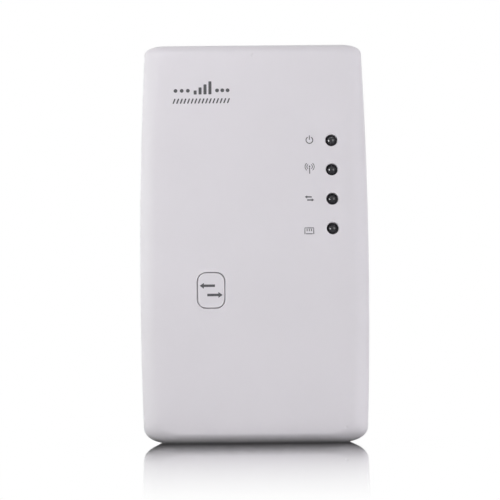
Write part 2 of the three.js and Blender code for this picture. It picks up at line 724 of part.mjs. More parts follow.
SIDES.forEach((side, i) => {
  const [x, z] = BOARD_SCREWS[i];
  const boardScrew = screw(1.9, 1.3, 0.95, 4.6);
  const aerialX = [-AERIAL.x, AERIAL.x][i];
  router(`board_screw_${side}`, boardScrew, STEEL, [x, BOARD_B + REST_GAP, z]);
  router(`antenna_${side}`, aerial(), DARK_GREEN, [aerialX, AERIAL.y, AERIAL.z]);
  router(`antenna_cable_${side}`, wire(AERIAL_CABLES[i], 0.55), BLACK_WIRE);
});

const supply = unit("supply_unit");
const standY = SUPPLY_F - 0.1; // base of the upright round parts
supply("power_board", supplyBoard(), LIGHT_GREEN);
supply("insulation_sheet", insulationSheet(), SHEET);
supply("transformer_core", transformerCore(), FERRITE, TRANSFORMER_AT);
supply("transformer_winding", transformerWinding(), TAPE, TRANSFORMER_AT);
supply("hv_capacitor_a", canCapacitor(3.9, 11), CAN, [17.4, -10.4, 20.4], ALONG_Z);
supply("hv_capacitor_b", canCapacitor(3.9, 11), CAN, [17.0, -10.4, 31.9], ALONG_Z);
supply("output_capacitor", canCapacitor(3.5, 9.2), CAN, [-15.6, standY, 37.6], FORWARD);
supply("input_choke", inputChoke(), FERRITE, [-18.2, standY, 30.2], FORWARD);
supply("fuse_resistor", fuseResistor(), LIGHT_GREEN, [-11.5, -8.1, 17.6], ALONG_Z);
supply("bridge_rectifier", chip(4.6, 6.2, 2.4, 2, "x"), CHIP, [-17.6, SUPPLY_F, 23.4]);
supply("controller_chip", chip(4, 5, 1.6, 4, "z"), CHIP, [-11.2, SUPPLY_F, 29.6]);
supply("optocoupler", chip(6.4, 4.6, 3.4, 2, "x"), CHIP, [-8.4, SUPPLY_F, 39.8]);
supply("y_capacitor", discCapacitor(), BLUE, [5.4, -10.1, 19.4], ALONG_Z);
supply("board_link_header", linkHeader(), BLACK, [-3.2, -12.3, 15.4]);
SIDES.forEach((side, i) => {
  const [x, z] = SUPPLY_SCREWS[i];
  const position = [x, SUPPLY_F - REST_GAP, z];
  supply(`power_board_screw_${side}`, screw(1.9, 1.3, 0.9, 4.2), STEEL, position, FORWARD);
});

const plug = unit("plug_unit");
plug("plug_block", plugBlock(), SHELL);
SIDES.forEach((side, i) => {
  plug(`blade_${side}`, blade(), BRASS, [[-BLADE_X, BLADE_X][i], 0, 0]);
  plug(`mains_wire_${side}`, wire(MAINS_WIRES[i], 0.75), [PALE_WIRE, BLACK_WIRE][i]);
});

export default root;
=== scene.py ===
"""A plug-in wireless unit standing on a glossy white floor.

It stands upright: the crowned front cover faces -Y, the mains blades point to +Y, +Z is up and
left is -X. Two network jacks open downwards at the foot. Shapes are in millimetres and turned
into metres when a mesh is made; materials, lights and camera are in metres.
"""
import json
import math

import bmesh
import bpy
from mathutils import Matrix, Vector
from mathutils.bvhtree import BVHTree

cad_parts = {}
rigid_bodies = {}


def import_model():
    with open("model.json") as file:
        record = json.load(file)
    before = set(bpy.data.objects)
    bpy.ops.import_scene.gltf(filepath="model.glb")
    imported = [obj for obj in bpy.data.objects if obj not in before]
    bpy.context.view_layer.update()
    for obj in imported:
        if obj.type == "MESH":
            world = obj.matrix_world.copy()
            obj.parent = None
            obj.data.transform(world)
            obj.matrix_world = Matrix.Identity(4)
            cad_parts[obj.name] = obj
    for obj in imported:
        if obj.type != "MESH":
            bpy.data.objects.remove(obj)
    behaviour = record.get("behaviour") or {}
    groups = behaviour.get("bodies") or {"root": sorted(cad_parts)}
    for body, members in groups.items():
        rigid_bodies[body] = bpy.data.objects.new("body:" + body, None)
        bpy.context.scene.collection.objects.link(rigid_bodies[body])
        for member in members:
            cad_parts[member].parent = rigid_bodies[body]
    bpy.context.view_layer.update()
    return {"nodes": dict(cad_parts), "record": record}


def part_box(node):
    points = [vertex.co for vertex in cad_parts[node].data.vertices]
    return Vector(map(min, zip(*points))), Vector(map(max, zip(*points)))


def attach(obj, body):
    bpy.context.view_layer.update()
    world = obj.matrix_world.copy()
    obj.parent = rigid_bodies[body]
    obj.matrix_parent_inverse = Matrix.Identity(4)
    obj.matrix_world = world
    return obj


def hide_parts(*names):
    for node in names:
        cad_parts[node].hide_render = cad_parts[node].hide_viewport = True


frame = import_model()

MM = 0.001


# ------------------------------------------------------------------ dimensions (mm)
HALF_WIDTH, HALF_HEIGHT, MID_Z = 31.5, 55.0, -7.0
TOP_Z = MID_Z + HALF_HEIGHT
BARREL = 1.25  # each side draws in by this at the top and foot
FRONT_Y, BACK_Y, PART_Y = -27.0, -0.6, -18.4
SEAM = 0.15  # half the gap between the covers
EDGE_ROUND = 0.12  # small round at the parting edges
WALL = 2.0
CROWN_X, CROWN_Z = 0.6, 1.8  # fall of the front face at its sides and ends
FILLET_X, FILLET_Z, FILLET_Y = 5.0, 3.0, 6.0  # front fillet
DRAFT, BACK_FILLET = 1.1, 3.4
TOP_CORNER, FOOT_CORNER = (5.6, 2.5), (7.9, 4.4)  # outline corner radii in x and z
BOARD_FRONT, BOARD_BACK = -20.0, -18.4
SUPPLY_FRONT, SUPPLY_BACK = -6.2, -4.6
LED_X, LED_TOP_Z, LED_PITCH = 21.3, 20.1, 8.1
LED_RADIUS, LED_HOLE_RADIUS, LED_SEAT = 1.5, 1.65, -20.95
LED_Z = [LED_TOP_Z - i * LED_PITCH for i in range(4)]
BUTTON_X, BUTTON_Z = -11.8, -20.8
BUTTON_WIDTH, BUTTON_HEIGHT, BUTTON_CORNER = 7.2, 9.4, 2.3
BUTTON_GAP = 0.2 + 0.02
JACK_X, JACK_FOOT_Z, JACK_LENGTH, JACK_WIDTH, JACK_DEPTH = 12.5, -61.4, 16.0, 16.0, 13.4
RESET_Y, RESET_RADIUS = -15.9, 0.9
MODE_Y, MODE_Z = -15.6, -30.0  # middle of the mode selector in the left flank
COUNTERBORE_Y = -14
# screw places, x and z
HOUSING_SCREWS = [(-24.6, 38.5), (24.6, 38.5), (-24.8, -53.5), (24.8, -53.5)]
BOARD_SCREWS = [(-21.8, 26.5), (21.8, 26.5)]
SUPPLY_SCREWS = [(-19.5, 17.0), (19.5, 17.0)]


def crown(x, z):
    """Fall of the front face, z measured from the body's middle."""
    return CROWN_X * (x / HALF_WIDTH) ** 2 + CROWN_Z * (z / HALF_HEIGHT) ** 2


def face_y(x, z):
    return FRONT_Y + crown(x, z - MID_Z)


def inner_face_y(x, z):
    return FRONT_Y + WALL + crown(x, z - MID_Z)


def side_at(z):
    """Half width of the body, z measured from its middle."""
    return HALF_WIDTH - BARREL * (z / HALF_HEIGHT) ** 2


# ------------------------------------------------------------------ loops and placing
def circle(radius, steps, x=0, z=0):
    angles = [2 * math.pi * i / steps for i in range(steps)]
    return [(x + radius * math.cos(angle), z + radius * math.sin(angle)) for angle in angles]


def rounded(width, height, radius, steps=8, x=0, z=0):
    """A rectangle with round corners, centred on x, z."""
    points = []
    right, top = width / 2 - radius, height / 2 - radius
    for mid_x, mid_z, start in ((right, -top, -90), (right, top, 0),
                                (-right, top, 90), (-right, -top, 180)):
        for i in range(steps + 1):
            angle = math.radians(start + 90 * i / steps)
            points.append((x + (mid_x + radius * math.cos(angle)),
                           z + (mid_z + radius * math.sin(angle))))
    return points


def on_face(loop, dy=0):
    """Lays x, z points on the crowned front face, dy behind it."""
    return [(x, face_y(x, z) + dy, z) for x, z in loop]


# Each of these gives a function that places a point of a loop at a distance along an axis.
def along_x(y, z):
    return lambda first, second, along: (along, y + first, z + second)


def along_y(x, z, base=0, sign=1):
    return lambda first, second, along: (x + first, base + sign * along, z + second)


def along_z(x, y, base=0):
    return lambda first, second, along: (x + first, y + second, base + along)


# ------------------------------------------------------------------ mesh helpers
def fix_normals(mesh, triangulate=False):
    bm = bmesh.new()
    bm.from_mesh(mesh)
    bmesh.ops.recalc_face_normals(bm, faces=bm.faces)
    if triangulate:
        bmesh.ops.triangulate(bm, faces=[face for face in bm.faces if len(face.verts) > 4])
    bm.to_mesh(mesh)
    bm.free()


class Parts:
    """Closed pieces gathered into one mesh."""

    def __init__(self):
        self.verts, self.faces = [], []

    def rings(self, rings, capped=True):
        """Skins a row of loops with equal point counts."""
        base, count = len(self.verts), len(rings[0])
        for loop in rings:
            self.verts.extend(loop)
        for k in range(len(rings) - 1):
            here, after = base + k * count, base + (k + 1) * count
            for i in range(count):
                j = (i + 1) % count
                self.faces.append((here + i, here + j, after + j, after + i))
        if capped:
            last = base + (len(rings) - 1) * count
            self.faces.append(tuple(base + i for i in range(count)))
            self.faces.append(tuple(last + i for i in reversed(range(count))))
        return self

    def lathe(self, profile, steps, place):
        """Turns a profile of (radius, height), with radius 0 at both ends."""
        base = len(self.verts)
        self.verts.append(place(0, 0, profile[0][1]))
        middle = profile[1:-1]
        for radius, height in middle:
            self.verts += [place(*point, height) for point in circle(radius, steps)]
        self.verts.append(place(0, 0, profile[-1][1]))
        last = base + 1 + len(middle) * steps
        for i in range(steps):
            j = (i + 1) % steps
            self.faces.append((base, base + 1 + j, base + 1 + i))
            for k in range(len(middle) - 1):
                here, after = base + 1 + k * steps, base + 1 + (k + 1) * steps
                self.faces.append((here + i, here + j, after + j, after + i))
            here = base + 1 + (len(middle) - 1) * steps
            self.faces.append((here + i, here + j, last))
        return self

    def box(self, x0, x1, y0, y1, z0, z1):
        return self.rings([[(x0, y, z0), (x1, y, z0), (x1, y, z1), (x0, y, z1)]
                           for y in (y0, y1)])

    def prism(self, place, loop, start, end):
        return self.rings([[place(*point, along) for point in loop] for along in (start, end)])

    def bar(self, place, radius, start, end, steps=32):
        return self.prism(place, circle(radius, steps), start, end)

    def flared(self, place, width, height, radius, stations, steps=8):
        """A rounded plate grown by varying amounts; stations are (growth, distance)."""
        return self.rings([[place(*point, along) for point in
                            rounded(width + 2 * grow, height + 2 * grow, radius + grow, steps)]
                           for grow, along in stations])

    def object(self, name):
        mesh = bpy.data.meshes.new(name)
        mesh.from_pydata([(x * MM, y * MM, z * MM) for x, y, z in self.verts], [], self.faces)
        mesh.validate()
        fix_normals(mesh)
        ob = bpy.data.objects.new(name, mesh)
        bpy.context.scene.collection.objects.link(ob)
        return ob


def boolean(ob, parts, operation):
    tool = parts.object("tool")
    for solid in (ob, tool):
        fix_normals(solid.data, triangulate=True)
    modifier = ob.modifiers.new("cut", "BOOLEAN")
    modifier.solver, modifier.operation, modifier.object = "MANIFOLD", operation, tool
    bpy.context.view_layer.update()
    evaluated = ob.evaluated_get(bpy.context.evaluated_depsgraph_get())
    mesh = bpy.data.meshes.new_from_object(evaluated)
    ob.modifiers.clear()
    ob.data = mesh
    bpy.data.objects.remove(tool)
    if not len(mesh.polygons):
        raise RuntimeError("a boolean left nothing of " + ob.name)


def cut(ob, parts):
    boolean(ob, parts, "DIFFERENCE")


def join(ob, parts):
    boolean(ob, parts, "UNION")


def working_copy(clean, name):
    """A copy to cut and join, while the clean surface is kept for its normals."""
    ob = clean.copy()
    ob.data = clean.data.copy()
    ob.name = name
    bpy.context.scene.collection.objects.link(ob)
    return ob


def smooth(ob, angle=35):
    for face in ob.data.polygons:
        face.use_smooth = True
    ob.data.set_sharp_from_angle(angle=math.radians(angle))
    return ob


def barycentric(point, a, b, c):
    v0, v1, v2 = b - a, c - a, point - a
    d00, d01, d11, d20, d21 = v0.dot(v0), v0.dot(v1), v1.dot(v1), v2.dot(v0), v2.dot(v1)
    area = d00 * d11 - d01 * d01
    if abs(area) < 1e-30:
        return 1.0, 0.0, 0.0
    weight_b = (d11 * d20 - d01 * d21) / area
    weight_c = (d00 * d21 - d01 * d20) / area
    return 1 - weight_b - weight_c, weight_b, weight_c


SEARCH_REACH, ON_SURFACE = 3e-5, 1.5e-5  # metres


def smooth_like(ob, clean):
    """Takes the clean surface's normals wherever ob still lies on it, then removes clean."""
    smooth(ob, 32)
    mesh, source = ob.data, clean.data
    source.calc_loop_triangles()
    triangles = [tuple(triangle.vertices) for triangle in source.loop_triangles]
    places = [vert.co.copy() for vert in source.vertices]
    normals = [vert.normal.copy() for vert in source.vertices]
    tree = BVHTree.FromPolygons(places, triangles)
    result = [normal.vector.copy() for normal in mesh.corner_normals]
    for face in mesh.polygons:
        for i in range(face.loop_start, face.loop_start + face.loop_total):
            place = mesh.vertices[mesh.loops[i].vertex_index].co
            hit, _, k, distance = tree.find_nearest(place, SEARCH_REACH)
            if hit is None or distance > ON_SURFACE:
                continue
            a, b, c = triangles[k]
            weights = barycentric(hit, places[a], places[b], places[c])
            normal = (normals[a] * weights[0] + normals[b] * weights[1]
                      + normals[c] * weights[2]).normalized()
            if normal.dot(face.normal) > 0.9:
                result[i] = normal
    mesh.normals_split_custom_set([tuple(normal) for normal in result])
    bpy.data.objects.remove(clean)
    return ob


# ------------------------------------------------------------------ housing surface
SIDE_STEPS, CORNER_STEPS, END_STEPS = 40, 14, 16
CORNER_POWER = 0.9  # below 1 squares the corners slightly


def outline():
    """The body seen along Y, as x, z points from its middle."""

    def corner(side, end, radii):
        points = []
        for i in range(CORNER_STEPS + 1):
            angle = i / CORNER_STEPS * math.pi / 2
            z = HALF_HEIGHT - radii[1] + radii[1] * math.sin(angle) ** CORNER_POWER
            x = side_at(z) - radii[0] + radii[0] * max(0.0, math.cos(angle)) ** CORNER_POWER
            points.append((side * x, end * z))
        return points

    def flank(z0, z1, side):
        heights = [z0 + (z1 - z0) * i / SIDE_STEPS for i in range(1, SIDE_STEPS)]
        return [(side * side_at(z), z) for z in heights]

    def end(x0, x1, z):
        return [(x0 + (x1 - x0) * i / END_STEPS, z) for i in range(1, END_STEPS)]

    low, high = -HALF_HEIGHT + FOOT_CORNER[1], HALF_HEIGHT - TOP_CORNER[1]
    top_right, top_left = corner(1, 1, TOP_CORNER), corner(-1, 1, TOP_CORNER)[::-1]
    foot_left, foot_right = corner(-1, -1, FOOT_CORNER), corner(1, -1, FOOT_CORNER)[::-1]
    return (flank(low, high, 1) + top_right
            + end(top_right[-1][0], top_left[0][0], HALF_HEIGHT) + top_left
            + flank(high, low, -1) + foot_left
            + end(foot_left[-1][0], foot_right[0][0], -HALF_HEIGHT) + foot_right)


OUTLINE = outline()


def ring(inset_x, inset_z, y, crowned=0.0, scale=1.0, depth=0.0):
    """The outline at y, drawn in by the insets and by its depth inside the outer surface."""
    points = []
    for outline_x, outline_z in OUTLINE:
        x = outline_x * (1 - (inset_x + depth) / HALF_WIDTH) * scale
        z = outline_z * (1 - (inset_z + depth) / HALF_HEIGHT) * scale
        points.append((x, y + crown(x, z) * crowned, z + MID_Z))
    return points


def front_rings(depth, face_steps, fillet_steps):
    """Rings from the middle of the face round its fillet to the straight wall."""
    y = FRONT_Y + depth
    fillet_y = FILLET_Y - depth * 0.6
    rings = [ring(FILLET_X, FILLET_Z, y, 1, (i + 1) / face_steps, depth)
             for i in range(face_steps - 1)]
    for i in range(fillet_steps + 1):
        angle = i / fillet_steps * math.pi / 2
        inset = 1 - math.sin(angle)
        rings.append(ring(FILLET_X * inset, FILLET_Z * inset,
                          y + fillet_y * (1 - math.cos(angle)),
                          1 - math.sin(angle) ** 3, 1, depth))
    return rings


def back_rings(depth, face_steps, fillet_steps):
    """Rings from the straight wall round the back fillet to the middle of the back."""
    y, fillet, rings = BACK_Y - depth, BACK_FILLET - depth * 0.5, []
    for i in range(fillet_steps + 1):
        angle = i / fillet_steps * math.pi / 2
        inset = BACK_FILLET * (1 - math.cos(angle))
        rings.append(ring(DRAFT + inset, inset, y - fillet * (1 - math.sin(angle)),
                          depth=depth))
    return rings + [ring(DRAFT + BACK_FILLET, BACK_FILLET, y, 0, i / face_steps, depth)
                    for i in range(face_steps - 1, 0, -1)]


def taper(depth, y):
    """A ring behind the parting plane, where the sides draw in towards the back."""
    end_y = BACK_Y - depth - (BACK_FILLET - depth * 0.5)
    drawn = (y - PART_Y) / (end_y - PART_Y)
    return ring(DRAFT * max(0.0, drawn), 0, y, depth=depth)


# ------------------------------------------------------------------ cutters both covers use
def add_jack_boxes(parts, clearance):
    for x in (-JACK_X, JACK_X):
        half = JACK_WIDTH / 2
        parts.box(x - half - clearance, x + half + clearance,
                  BOARD_BACK - 0.1, BOARD_BACK + JACK_DEPTH + clearance,
                  -70, JACK_FOOT_Z + JACK_LENGTH + clearance)


def selector_scoop():
    """The finger scoop round the mode selector, a squashed ball with its inner side flat."""
    length, squash, middle_x, flat_x = 9, 0.42, -32.6, -30.75
    angles = [math.pi * i / 20 for i in range(1, 20)]
    profile = [(length * math.sin(angle), -length * math.cos(angle)) for angle in angles]
    return Parts().lathe([(0, -length)] + profile + [(0, length)], 64,
                         lambda across, depth, height: (
                             min(flat_x, middle_x + squash * across),
                             MODE_Y + squash * depth, MODE_Z + height))


# ------------------------------------------------------------------ front cover
MOUTH_ROUND = 0.18
PEG_X, PEG_Z = 22, -41
DIMPLES = ((-0.09, 44.35, 0.6, 0.13), (24.3, -57.9, 0.6, 0.09))  # x, z, radius, depth


def add_face_cutter(parts, loop_at, reach):
    """A cutter with a rounded mouth on the crowned face; loop_at(grow) is the opening."""
    stations = [(MOUTH_ROUND, -1.0), (MOUTH_ROUND, -0.001)]
    for i in range(1, 6):
        angle = i / 5 * math.pi / 2
        stations.append((MOUTH_ROUND * (1 - math.sin(angle)),
                         MOUTH_ROUND * (1 - math.cos(angle))))
    stations.append((0.0, reach))
    parts.rings([on_face(loop_at(grow), dy) for grow, dy in stations])


def front_clean():
    """The bare front cover, closed at the middle of its outer and inner faces."""
    edge_y, tongue_y = PART_Y - SEAM, PART_Y + 1.3
    parting = [ring(0, 0, edge_y - EDGE_ROUND),
               ring(EDGE_ROUND * 0.3, EDGE_ROUND * 0.3, edge_y - EDGE_ROUND * 0.3),
               ring(EDGE_ROUND, EDGE_ROUND, edge_y)]
    tongue = [ring(0, 0, edge_y, depth=1.15), ring(0, 0, PART_Y + 1.15, depth=1.15),
              ring(0, 0, tongue_y, depth=1.3), ring(0, 0, tongue_y, depth=WALL)]
    rings = front_rings(0, 22, 16) + parting + tongue + front_rings(WALL, 6, 6)[::-1]
    parts = Parts().rings(rings, capped=False)
    count = len(OUTLINE)
    outer, inner, last = len(parts.verts), len(parts.verts) + 1, (len(rings) - 1) * count
    for loop in (rings[0], rings[-1]):
        parts.verts.append((0.0, min(point[1] for point in loop) - 0.002, MID_Z))
    for i in range(count):
        j = (i + 1) % count
        parts.faces.append((outer, j, i))
        parts.faces.append((inner, last + i, last + j))
    return parts.object("front_clean")


def front_posts():
    """Posts, pegs and the button's surround inside the front cover."""
    parts = Parts()
    for x, z in HOUSING_SCREWS:
        parts.bar(along_y(x, z), 2.6, inner_face_y(x, z) - 0.8, PART_Y + 0.3)
    for x, z in BOARD_SCREWS:
        parts.bar(along_y(x, z), 2.3, inner_face_y(x, z) - 0.8, BOARD_FRONT - 0.05)
    for x in (-PEG_X, PEG_X):
        root = inner_face_y(x, PEG_Z) - 0.8
        shoulder, tip = BOARD_FRONT - 0.05, BOARD_BACK - 0.3
        parts.lathe([(0, root), (2.2, root), (2.2, shoulder), (1.1, shoulder),
                     (1.1, BOARD_BACK - 0.5), (0.9, tip), (0, tip)], 32, along_y(x, PEG_Z))
    for x in (-17.4, -5, 5, 17.4):
        parts.bar(along_y(x, 38), 1.2, inner_face_y(x, 38) - 0.8, -22.05, 24)
    root = inner_face_y(BUTTON_X, BUTTON_Z) - 0.6
    return parts.prism(along_y(BUTTON_X, BUTTON_Z), rounded(12.6, 14.8, 3.2), root, -22.6)


def front_openings():
    parts = Parts()
    for x, z in HOUSING_SCREWS:
        parts.bar(along_y(x, z), 1.35, -24.2, -15, 24)
    for x, z in BOARD_SCREWS:
        parts.bar(along_y(x, z), 1.05, -23.4, -15, 24)
    for led_z in LED_Z:
        add_face_cutter(parts, lambda grow: circle(LED_HOLE_RADIUS + grow, 64, LED_X, led_z), 5)
    add_face_cutter(parts, lambda grow: rounded(
        BUTTON_WIDTH + 2 * (BUTTON_GAP + grow), BUTTON_HEIGHT + 2 * (BUTTON_GAP + grow),
        BUTTON_CORNER + BUTTON_GAP + grow, 14, BUTTON_X, BUTTON_Z), 3)
    add_jack_boxes(parts, 0.35)
    # the tongue stops short of the mode selector
    parts.box(-32, -26.9, PART_Y - SEAM + 0.002, MODE_Y + 3, MODE_Z - 6.4, MODE_Z + 6.4)
    # faint dimples under the top edge and by the foot
    for x, z, radius, depth in DIMPLES:
        parts.lathe([(0, -radius * 1.2), (radius * 0.7, -radius * 0.9), (radius, 0),
                     (radius * 0.7, depth * 0.7), (0, depth)],
                    24, along_y(x, z, base=face_y(x, z)))
    return parts


def build_front():
    clean = front_clean()
    ob = working_copy(clean, "front_cover_shell")
    join(ob, front_posts())
    cut(ob, Parts().prism(along_y(BUTTON_X, BUTTON_Z), rounded(10.2, 12.4, 2.4), -24.95, -20))
    cut(ob, front_openings())
    cut(ob, selector_scoop())
    return smooth_like(ob, clean)


# ------------------------------------------------------------------ rear cover
VENT_Z = (22, 25.6, 29.2, 32.8, 36.4, -14.2, -17.6)
VENT_X, VENT_LENGTH = 8.6, 14.6
VENT_WIDTH, VENT_CORNER = 1.5, 0.74  # the slots in the back and in the top alike
TOP_VENT_PITCH, TOP_VENT_Y, TOP_VENT_LENGTH = 5.2, -10.5, 9


def rear_clean():
    """The bare rear cover with a groove round it for the front cover's tongue."""
    edge_y = PART_Y + SEAM
    parting = [ring(0, 0, edge_y, depth=1.0), ring(EDGE_ROUND, EDGE_ROUND, edge_y),
               ring(EDGE_ROUND * 0.3, EDGE_ROUND * 0.3, edge_y + EDGE_ROUND * 0.3),
               taper(0, edge_y + EDGE_ROUND + 0.02)]
    outside = parting + back_rings(0, 8, 12)
    inside = back_rings(WALL, 4, 6)[::-1]
    groove = [taper(WALL, PART_Y + 1.6), taper(0.9, PART_Y + 1.55),
              ring(0, 0, edge_y + 0.05, depth=0.9)]
    rings = outside + inside + groove
    parts = Parts().rings(rings, capped=False)
    count = len(OUTLINE)
    outer_start, inner_start = (len(outside) - 1) * count, len(outside) * count
    last = (len(rings) - 1) * count
    # open the strip that joins outside to inside at the middle of the back, and close each
    del parts.faces[outer_start:inner_start]
    outer, inner = len(parts.verts), len(parts.verts) + 1
    parts.verts += [(0, BACK_Y, MID_Z), (0, BACK_Y - WALL, MID_Z)]
    for i in range(count):
        j = (i + 1) % count
        parts.faces.append((outer, outer_start + i, outer_start + j))
        parts.faces.append((inner, inner_start + j, inner_start + i))
        parts.faces.append((last + i, last + j, j, i))
    return parts.object("rear_clean")


def rear_posts():
    parts = Parts()
    root = BACK_Y - 1
    for x, z in HOUSING_SCREWS:
        parts.bar(along_y(x, z), 3.3, PART_Y + 0.9, root)
    for x, z in SUPPLY_SCREWS:
        parts.bar(along_y(x, z), 2.4, SUPPLY_BACK + 0.05, root)
    for x in (-17.5, 17.5):
        parts.bar(along_y(x, 41.4), 1.6, SUPPLY_BACK + 0.05, root, 24)
    for x in (-17.2, 15.2):
        parts.box(x, x + 2.0, -6.2, root, -7, 7)
    return parts


def rear_openings():
    parts = Parts()
    counterbore = [(0, 2), (3.3, 2), (2.85, BACK_Y + 0.001), (2.68, BACK_Y - 0.07),
                   (2.6, BACK_Y - 0.25), (2.6, COUNTERBORE_Y), (1.5, COUNTERBORE_Y),
                   (1.5, -20), (0, -20)]
    for x, z in HOUSING_SCREWS:
        parts.lathe(counterbore, 40, along_y(x, z))
    for x, z in SUPPLY_SCREWS:
        parts.bar(along_y(x, z), 1.05, -6, -1.5, 24)
    # the wide opening in the middle of the back, then the shallow label recess below it
    parts.flared(along_y(0, 0), 24.4, 18.4, 4.2,
                 ((0.25, 2), (0.25, BACK_Y), (0.07, BACK_Y - 0.08), (0, BACK_Y - 0.25),
                  (0, -4)), 10)
    parts.flared(along_y(0, -33), 41, 25, 1.5,
                 ((0.1, 2), (0.1, BACK_Y), (0, BACK_Y - 0.1), (0, BACK_Y - 0.3)))
    for z in VENT_Z:
        for x in (-VENT_X, VENT_X):
            parts.flared(along_y(x, z), VENT_LENGTH, VENT_WIDTH, VENT_CORNER,
                         ((0.2, 2), (0.2, BACK_Y), (0.06, BACK_Y - 0.06),
                          (0, BACK_Y - 0.2), (0, -4)))
    for i in range(-3, 4):
        parts.flared(along_z(i * TOP_VENT_PITCH, TOP_VENT_Y),
                     VENT_WIDTH, TOP_VENT_LENGTH, VENT_CORNER,
                     ((0.2, TOP_Z + 2), (0.2, TOP_Z), (0.06, TOP_Z - 0.06),
                      (0, TOP_Z - 0.2), (0, TOP_Z - 4)))
    add_jack_boxes(parts, 0.25)
    mouth = RESET_RADIUS + 0.25
    return parts.lathe([(0, -70), (mouth, -70), (mouth, MID_Z - HALF_HEIGHT),
                        (RESET_RADIUS, -61.7), (RESET_RADIUS, -56), (0, -56)],
                       32, along_z(0, RESET_Y))


def build_rear():
    clean = rear_clean()
    ob = working_copy(clean, "rear_cover_shell")
    join(ob, rear_posts())
    cut(ob, rear_openings())
    cut(ob, selector_scoop())
    cut(ob, Parts().prism(along_x(MODE_Y, MODE_Z), rounded(3.4, 8.4, 0.8, 6), -34, -27))
    return smooth_like(ob, clean)


# ------------------------------------------------------------------ button
def build_button():
    """A cap that follows the crowned face, with a flange and a stub behind it."""
    edge, steps = 0.16, 14

    def cap_loop(inset):
        return rounded(BUTTON_WIDTH - 2 * inset, BUTTON_HEIGHT - 2 * inset,
                       BUTTON_CORNER - inset, steps)

    def at_button(loop, scale=1):
        return [(BUTTON_X + x * scale, BUTTON_Z + z * scale) for x, z in loop]

    rings = [on_face(at_button(cap_loop(edge), scale)) for scale in (0.12, 0.3, 0.5, 0.7, 0.88)]
    for i in range(7):
        angle = i / 6 * math.pi / 2
        loop = at_button(cap_loop(edge * (1 - math.sin(angle))))
        rings.append(on_face(loop, edge * (1 - math.cos(angle))))
    rings.append([(x, -24.2, z) for x, z in at_button(cap_loop(0))])
    clean = Parts().rings(rings).object("button_clean")
    ob = working_copy(clean, "button_cap")
    place = along_y(BUTTON_X, BUTTON_Z)
    join(ob, Parts().prism(place, rounded(9.4, 11.6, 2.2), -24.55, -23.75))
    join(ob, Parts().lathe([(0, -24), (1.5, -24), (1.5, -22.85), (1.4, -22.75), (0, -22.75)],
                           32, place))
    return smooth_like(ob, clean)


# ------------------------------------------------------------------ lights and screws
def build_led(name, z):
    seat, radius, dome = LED_SEAT, LED_RADIUS, LED_SEAT - 3.8
    profile = [(0, seat), (radius + 0.36, seat), (radius + 0.4, seat - 0.05),
               (radius + 0.4, seat - 0.94), (radius + 0.34, seat - 1.0),
               (radius + 0.04, seat - 1.0), (radius, seat - 1.06), (radius, dome)]
    for i in range(1, 13):
        angle = i / 12 * math.pi / 2
        profile.append((radius * math.cos(angle) if i < 12 else 0,
                        dome - radius * math.sin(angle)))
    ob = Parts().lathe(profile, 48, along_y(LED_X, z)).object(name)
    legs = Parts()
    for x in (LED_X - 1.27, LED_X + 1.27):
        legs.box(x - 0.25, x + 0.25, seat - 0.3, seat + 3.9, z - 0.25, z + 0.25)
    join(ob, legs)
    return smooth(ob)


def build_screw(name, x, y, z, head_radius, head_height, radius, length, facing=1):
    """A cross-head screw; y is under its head, which faces +Y or, with facing -1, -Y."""
    profile = [(0, -length), (radius * 0.3, -length + 0.05)]
    height, pitch = -length + 0.8, 0.9
    while height < -0.6:  # the thread is stacked ridges
        profile += [(radius * 0.78, height), (radius, height + pitch * 0.35)]
        height += pitch * 0.7
    profile += [(radius * 0.8, -0.3), (radius * 0.9, 0), (head_radius * 0.96, 0),
                (head_radius, 0.08), (head_radius, head_height * 0.45)]
    for i in range(1, 7):
        angle = i / 6 * math.pi / 2
        profile.append((head_radius * (0.55 + 0.45 * math.cos(angle)),
                        head_height * (0.45 + 0.55 * math.sin(angle))))
    profile.append((0, head_height))
    ob = Parts().lathe(profile, 32, lambda first, second, along: (
        x + first, y + facing * along, z + facing * second)).object(name)
    arm, half_slot = head_radius * 0.55, 0.3
    near, far = sorted((y + facing * head_height * 0.45, y + facing * (head_height + 1)))
    for half_x, half_z in ((arm, half_slot), (half_slot, arm)):
        cut(ob, Parts().box(x - half_x, x + half_x, near, far, z - half_z, z + half_z))
    return smooth(ob)


# ------------------------------------------------------------------ turned parts
def turned(name, profile, place, slots=()):
    """A turned piece; slots are boxes cut into it."""
    ob = Parts().lathe(profile, 48, place).object(name)
    for slot in slots:
        cut(ob, Parts().box(*slot))
    fix_normals(ob.data)
    return smooth(ob)


def quarter_round(radius, size, steps=4):
    """Quarter round from (radius - size, 0) to (radius, size)."""
    angles = [i / steps * math.pi / 2 for i in range(steps + 1)]
    return [(radius - size + size * math.sin(angle), size - size * math.cos(angle))
            for angle in angles]


def far_round(radius, size, length):
    """The same round at the far end of a piece."""
    return [(across, length - along) for across, along in reversed(quarter_round(radius, size))]


def can_profile(radius, length):
    """Sleeved can: rolled groove near the base, a sleeve lip round the sunk top."""
    groove = [(radius - 0.35 * (0.5 - 0.5 * math.cos(2 * math.pi * i / 10)), 1.2 + 0.8 * i / 10)
              for i in range(11)]
    return ([(0, 0)] + quarter_round(radius, 0.3) + groove + far_round(radius, 0.3, length)
            + [(radius - 0.6, length), (radius - 0.66, length - 0.1), (0, length - 0.1)])


